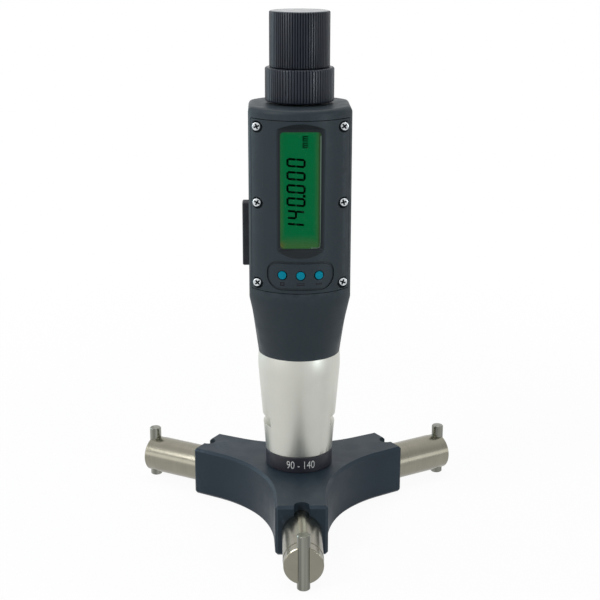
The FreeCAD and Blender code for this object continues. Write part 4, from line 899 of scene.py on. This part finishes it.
class MICROMETER_OT_drive_screws(bpy.types.Operator):
    """Set the six cross-head screws of the front cover"""

    bl_idname = "micrometer.drive_screws"
    bl_label = "Cover screws"

    def execute(self, context):
        sizes, colours = context.scene.micrometer_marks, context.scene.micrometer_colours
        low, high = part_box("cover_screws")
        radius, head_height, shank_radius, middle_row = 1.55 * MM, 1.3 * MM, 0.9 * MM, 125.1 * MM
        single = cross_screw(sizes, radius, head_height, shank_radius, high.y - low.y - head_height)
        columns = (low.x + radius, high.x - radius)
        rows = (high.z - radius, middle_row, low.z + radius)
        work = bmesh.new()
        for row, row_turns in zip(rows, ((20, 38), (62, 15), (40, 72))):
            for column, turn in zip(columns, row_turns):
                placed = single.copy()
                placed.transform(Euler((0, 0, math.radians(turn))).to_matrix().to_4x4())
                placed.transform(Euler((math.radians(90), 0, 0)).to_matrix().to_4x4())
                for vertex in placed.vertices:
                    vertex.co += Vector((column, low.y, row))
                work.from_mesh(placed)
                bpy.data.meshes.remove(placed)
        bpy.data.meshes.remove(single)
        make_piece("cross_head_screws", work, bright_screws(colours.chrome, low.y), "body",
                   ["cover_screws"])
        return {"FINISHED"}


# Display and keypad


SEGMENTS = {"0": "abcdef", "1": "bc", "2": "abged", "3": "abgcd", "4": "fgbc", "5": "afgcd", "6": "afgedc",
            "7": "abc", "8": "abcdefg", "9": "abcdfg"}


def segment(start, end, stroke, gap):
    """Six-cornered outline of a display segment between two points."""
    start, end = Vector(start), Vector(end)
    along = (end - start).normalized()
    side = Vector((-along.y, along.x)) * stroke / 2
    start, end = start + along * gap, end - along * gap
    tip = along * stroke / 4
    return [tuple(point) for point in (start, start + tip - side, end - tip - side, end, end - tip + side,
                                       start + tip + side)]


def digit(figure, left, sizes):
    """Outlines of one figure's lit segments; across is its width and up its height."""
    stroke, gap = sizes.stroke, 0.04 * MM
    west, east = left + stroke / 2, left + sizes.digit_width - stroke / 2
    south, north = stroke / 2, sizes.digit_height - stroke / 2
    middle = (south + north) / 2
    ends = {"a": ((west, north), (east, north)), "b": ((east, middle), (east, north)),
            "c": ((east, south), (east, middle)), "d": ((west, south), (east, south)),
            "e": ((west, south), (west, middle)), "f": ((west, middle), (west, north)),
            "g": ((west, middle), (east, middle))}
    return [segment(*ends[name], stroke, gap) for name in SEGMENTS[figure]]


def reading_outlines(sizes):
    """Outlines of the whole reading, from its last figure to its first."""
    left = sizes.reading_end - sizes.digit_width
    outlines = []
    for figure in reversed(sizes.reading):
        if figure == ".":
            dot = left + sizes.digit_width + (sizes.digit_pitch - sizes.digit_width) / 2
            half = sizes.stroke * 0.62
            outlines.append([(dot - half, 0), (dot + half, 0), (dot + half, 2 * half),
                             (dot - half, 2 * half)])
        else:
            outlines += digit(figure, left, sizes)
            left -= sizes.digit_pitch
    return outlines


def unit_outlines():
    """The two letters of the unit, each of three stems under a bar."""
    letter_pitch, stem_pitch, stem, height, bar = 2.35, 0.76, 0.4, 2.0, 0.36
    outlines = []
    for start in (0.0, letter_pitch):
        for foot in (start, start + stem_pitch, start + 2 * stem_pitch):
            outlines.append(box_outline(foot, 0.0, foot + stem, height))
        outlines.append(box_outline(start + 0.38, height - bar, start + 1.54, height))
    return outlines


def painted_glint_outlines(width):
    """Pieces of a narrow pale strip down the window's right side and round its lower right corner, a painted
    glint of the pane's edge.
    """
    side, foot, top, corner, run = 7.28 * MM, 109.24 * MM, 149.9 * MM, 1.3 * MM, 3.5 * MM
    centre = Vector((side - corner, foot + corner))
    edges = [((side, top), (side - width, top))]
    for step in range(9):
        turn = math.radians(90 * step / 8)
        edges.append([(centre.x + reach * math.cos(turn), centre.y - reach * math.sin(turn))
                      for reach in (corner, corner - width)])
    edges.append(((side - run, foot), (side - run, foot + width)))
    return [[outer, inner, next_inner, next_outer]
            for (outer, inner), (next_outer, next_inner) in zip(edges, edges[1:])]


class MICROMETER_OT_light_display(bpy.types.Operator):
    """Light the display, show the reading on it and set the clear pane before it"""

    bl_idname = "micrometer.light_display"
    bl_label = "Display"

    def execute(self, context):
        sizes, colours = context.scene.micrometer_display, context.scene.micrometer_colours
        dress(["lcd_panel"], lit_panel(colours))
        dress(["lcd_backlight"], moulded("Light plate", srgb(215, 220, 205), 0.4))
        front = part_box("lcd_panel")[0].y
        digits_foot, unit_foot, unit_start = sizes.digit_height - sizes.digit_top, 2.7 * MM, 145.15 * MM

        def reading_place(across, up, out):
            return Vector((digits_foot - up, front - out, across + up * sizes.digit_slant))

        def unit_place(across, up, out):
            return Vector((unit_foot - up, front - out, unit_start + across))

        ink = printed("Display segments", colours.segments, 0.6, specular=0.0)
        make_piece("display_digits", raised(reading_outlines(sizes), sizes.ink, reading_place), ink, "body")
        make_piece("display_unit", raised(unit_outlines(), sizes.ink, unit_place), ink, "body")
        dress(["display_window"], clear_pane(), edge=sizes.pane_edge)
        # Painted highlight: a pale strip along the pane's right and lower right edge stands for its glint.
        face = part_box("display_window")[0].y
        work = raised(painted_glint_outlines(sizes.glint_width), 0.1 * MM,
                      lambda across, up, out: Vector((across, face - out, up)))
        make_piece("pane_bead", work, printed("Pale bead", srgb(86, 106, 94), 0.4), "body")
        return {"FINISHED"}


class MICROMETER_OT_set_buttons(bpy.types.Operator):
    """Set the three round buttons and print the signs under them"""

    bl_idname = "micrometer.set_buttons"
    bl_label = "Buttons"

    def execute(self, context):
        sizes, colours = context.scene.micrometer_marks, context.scene.micrometer_colours
        finish = moulded("Soft buttons", colours.buttons, 0.42, spot=0.0002, depth=0.000006, specular=0.1,
                         edge_wear_and_highlight=0.0)
        flange, flange_back, flange_front = 2.4 * MM, 0.97 * MM, 1.77 * MM
        stem, radius, edge = 1.0 * MM, 1.5 * MM, 0.28 * MM
        barrel = -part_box("front_cover")[0].y + 0.002 * MM
        spacing = 6.6 * MM
        signs = bmesh.new()
        for side, outlines, column in (("left", hold_sign(), -spacing), ("middle", swap_sign(), 0.0),
                                       ("right", zero_sign(), spacing)):
            name = "button_" + side
            low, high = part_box(name)
            middle = (low + high) / 2
            back = high.y - low.y
            section = [(0, 0, 0), (stem, 0, 0), (stem, flange_back, 0), (flange, flange_back, 0),
                       (flange, flange_front, 0), (radius, flange_front, 0),
                       *rounded(edge, radius - edge, back - edge - 0.06 * MM, 0, 80, 5),
                       (radius * 0.4, back - 0.01 * MM, 0), (0, back, 0)]

            def forward(point, middle=middle, high=high):
                return Vector((middle.x + point.x, high.y - point.z, middle.z + point.y))

            make_piece("soft_" + name, lathe(section, 48, place=forward), finish, name,
                       [name])
            place = on_barrel(barrel, math.asin(column / barrel), sizes.icon_height)
            raised(outlines, sizes.paint / 2, place, signs)
        make_piece("button_signs", signs, printed("Button signs", srgb(28, 20, 30), specular=0.1), "body")
        return {"FINISHED"}


def printed_bar(left, foot, right, top):
    """A printed bar in narrow pieces, which follow the barrel."""
    count = max(1, math.ceil((right - left) / 0.4))
    step = (right - left) / count
    return [box_outline(left + index * step, foot, left + (index + 1) * step - 0.005, top)
            for index in range(count)]


def hold_sign():
    """A small open box."""
    return (printed_bar(-0.8, -0.65, 0.8, -0.37) + printed_bar(-0.8, 0.37, 0.8, 0.65)
            + printed_bar(-0.8, -0.36, -0.52, 0.36) + printed_bar(0.52, -0.36, 0.8, 0.36))


def swap_sign():
    """Two bars over each other."""
    return printed_bar(-1.4, 0.2, 1.4, 0.46) + printed_bar(-1.4, -0.46, 1.4, -0.2)


def zero_sign():
    """A plain bar between two ticks."""
    return (printed_bar(-0.89, -0.13, 0.89, 0.13) + printed_bar(-1.15, -0.45, -0.9, 0.45)
            + printed_bar(0.9, -0.45, 1.15, 0.45))


# Inner works


class MICROMETER_OT_finish_works(bpy.types.Operator):
    """Finish the drive, the electronics and the fasteners inside"""

    bl_idname = "micrometer.finish_works"
    bl_label = "Inner works"

    def execute(self, context):
        dress(["spindle", "knob_screw"], turned_metal("Turned shaft steel", srgb(170, 170, 168), 0.28))
        dress(["lead_screw_" + side for side in SIDES], ground_rods("Lead screw steel", srgb(150, 150, 146)))
        gears = ["crown_gear"] + ["bevel_pinion_" + side for side in SIDES]
        dress(gears, turned_metal("Gear steel", srgb(130, 128, 122), 0.35))
        bushes = ["lower_bush", "middle_bush", "upper_bush"]
        dress(bushes, turned_metal("Bush brass", srgb(190, 160, 92), 0.3))
        dress(["spring_washers"], turned_metal("Spring steel", srgb(140, 142, 150), 0.25))
        dress(["friction_disc"], moulded("Friction lining", srgb(88, 74, 60), 0.8, depth=0.00003))
        dress(["encoder_stator", "encoder_rotor", "circuit_board"],
              moulded("Board laminate", srgb(24, 84, 58), 0.35, spot=0.0006, depth=0.000006))
        dress(["key_mat"], moulded("Mat rubber", srgb(60, 60, 62), 0.7, depth=0.00002))
        dress(["battery"], turned_metal("Battery can", srgb(196, 196, 192), 0.22))
        dress(["battery_holder"], moulded("Holder plastic", srgb(30, 30, 32), 0.5))
        return {"FINISHED"}


# Stage


def seen_rays(wiring):
    """Masks of the camera's own rays, and of those off gloss and through glass, which see the studio too."""
    path = wiring.node("ShaderNodeLightPath").outputs
    return path["Is Camera Ray"], wiring.math("MAXIMUM", path["Is Glossy Ray"], path["Is Transmission Ray"])


def studio_reflection(wiring, across, forth):
    """What gloss sees by direction: dimmer to the right, brightest behind."""
    left = wiring.span(across, -0.45, -0.80, 0.0, 0.05)
    right = wiring.span(across, 0.30, 0.75, 0.0, -0.16)
    behind = wiring.span(forth, -0.3, 0.6, 0.80, 0.96)
    ahead = wiring.span(forth, 0.2, -0.3)
    return wiring.math("ADD", behind, wiring.times(wiring.math("ADD", left, right), ahead))


def cleared(owner):
    """The emptied node tree of a material or world."""
    owner.use_nodes = True
    owner.node_tree.nodes.clear()
    return Tree(owner.node_tree)


def make_floor():
    mesh = bpy.data.meshes.new("floor")
    work = bmesh.new()
    bmesh.ops.create_grid(work, x_segments=8, y_segments=8, size=12.0)
    work.to_mesh(mesh)
    work.free()
    floor = add_object("floor", mesh)
    floor.location.z = -0.1 * MM
    material = bpy.data.materials.new("Studio floor")
    wiring = cleared(material)
    camera, seen = seen_rays(wiring)
    reach = wiring.vector("LENGTH", wiring.place()).outputs["Value"]
    clear = wiring.span(reach, 0.10, 0.40, 0.94, 1.0)
    across, forth, _ = wiring.parts(wiring.vector("NORMALIZE", wiring.place()).outputs["Vector"])
    strength = wiring.math("MAXIMUM", camera, studio_reflection(wiring, across, forth))
    matte = wiring.node("ShaderNodeBsdfDiffuse", Color=(0.86, 0.86, 0.86)).outputs[0]
    white = wiring.node("ShaderNodeEmission", Color=(1, 1, 1), Strength=strength).outputs[0]
    factor = wiring.math("MAXIMUM", wiring.times(camera, clear), wiring.times(seen, 0.8))
    wiring.node("ShaderNodeOutputMaterial", Surface=wiring.shaders(factor, matte, white))
    mesh.materials.append(material)


def make_world(ambient):
    world = bpy.data.worlds.new("Studio")
    bpy.context.scene.world = world
    wiring = cleared(world)
    camera, seen = seen_rays(wiring)
    across, forth, up = wiring.parts(wiring.node("ShaderNodeTexCoord").outputs["Generated"])
    strength = studio_reflection(wiring, across, forth)
    windows = wiring.times(wiring.span(up, 0.32, 0.27), wiring.span(forth, 0.1, -0.3))
    for start, end, glow in ((-0.45, -0.75, 1.0), (0.45, 0.75, 1.1)):
        pane = wiring.times(windows, wiring.span(across, start, end, 0.0, glow))
        strength = wiring.math("ADD", strength, pane)
    gloss, room, white = (wiring.node("ShaderNodeBackground", Color=(1, 1, 1), Strength=level).outputs[0]
                          for level in (strength, ambient, 1.0))
    inner = wiring.shaders(seen, room, gloss)
    wiring.node("ShaderNodeOutputWorld", Surface=wiring.shaders(camera, inner, white))


# Each softbox's name, power setting, place, height that it faces on the axis, size and tint
SOFTBOXES = (("key_softbox", "key_power", (-0.56, -0.38, 0.58), 0.09, (0.34, 0.34), (1, 1, 1)),
             ("fill_strip", "fill_power", (0.46, -0.40, 0.16), 0.15, (0.05, 0.28), (0.85, 0.96, 1.0)),
             ("rim_panel", "rim_power", (-0.50, 0.30, 0.18), 0.12, (0.26, 0.34), (0.6, 0.9, 1.0)),
             ("top_softbox", "top_power", (0.0, 0.10, 0.75), 0.05, (0.50, 0.50), (1, 1, 1)))


def make_softbox(name, place, target, size, watts, tint):
    light = bpy.data.lights.new(name, "AREA")
    light.color = tint
    light.shape = "RECTANGLE"
    light.size, light.size_y = size
    light.energy = watts
    lamp = add_object(name, light)
    lamp.location = place
    lamp.rotation_mode = "QUATERNION"
    lamp.rotation_quaternion = (Vector(target) - Vector(place)).to_track_quat("-Z", "Y")


def make_camera(stage):
    data = bpy.data.cameras.new("camera")
    data.lens = stage.lens
    data.sensor_width = 36
    data.shift_x = stage.shift
    data.clip_start, data.clip_end = 0.02, 50
    camera = add_object("camera", data)
    camera.location = stage.camera_place
    camera.rotation_mode = "QUATERNION"
    level = Euler((math.radians(90) - stage.pitch, 0, stage.heading)).to_quaternion()
    camera.rotation_quaternion = level @ Euler((0, 0, stage.roll)).to_quaternion()
    bpy.context.scene.camera = camera


class MICROMETER_OT_set_stage(bpy.types.Operator):
    """Set the floor, the studio light and the camera"""

    bl_idname = "micrometer.set_stage"
    bl_label = "Stage"

    def execute(self, context):
        stage = context.scene.micrometer_stage
        context.scene.view_settings.view_transform = "Standard"
        make_floor()
        make_world(stage.ambient)
        for name, setting, place, target_height, size, tint in SOFTBOXES:
            make_softbox(name, place, (0, 0, target_height), size, getattr(stage, setting), tint)
        make_camera(stage)
        return {"FINISHED"}


# Panel and registration


PIECE_OPERATORS = (MICROMETER_OT_finish_head, MICROMETER_OT_finish_rods, MICROMETER_OT_finish_sleeve,
                   MICROMETER_OT_mark_ring, MICROMETER_OT_finish_housing, MICROMETER_OT_drive_screws,
                   MICROMETER_OT_light_display, MICROMETER_OT_set_buttons, MICROMETER_OT_rib_collar,
                   MICROMETER_OT_rib_knob, MICROMETER_OT_finish_works, MICROMETER_OT_set_stage)


class MICROMETER_PT_panel(bpy.types.Panel):
    """Pieces of the inside micrometer"""

    bl_label = "Inside micrometer"
    bl_idname = "MICROMETER_PT_panel"
    bl_space_type = "VIEW_3D"
    bl_region_type = "UI"
    bl_category = "Micrometer"

    def draw(self, context):
        for name, settings in SETTINGS.items():
            column = self.layout.column(align=True)
            for value in settings.__annotations__:
                column.prop(getattr(context.scene, name), value)
        for operator in PIECE_OPERATORS:
            self.layout.operator(operator.bl_idname)


CLASSES = (*SETTINGS.values(), *PIECE_OPERATORS, MICROMETER_PT_panel)


def register():
    for item in CLASSES:
        bpy.utils.register_class(item)
    for name, settings in SETTINGS.items():
        setattr(bpy.types.Scene, name, PointerProperty(type=settings))


def unregister():
    for name in SETTINGS:
        delattr(bpy.types.Scene, name)
    for item in reversed(CLASSES):
        bpy.utils.unregister_class(item)


def main():
    register()
    for operator in PIECE_OPERATORS:
        area, name = operator.bl_idname.split(".")
        getattr(getattr(bpy.ops, area), name)()


if __name__ == "__main__":
    main()
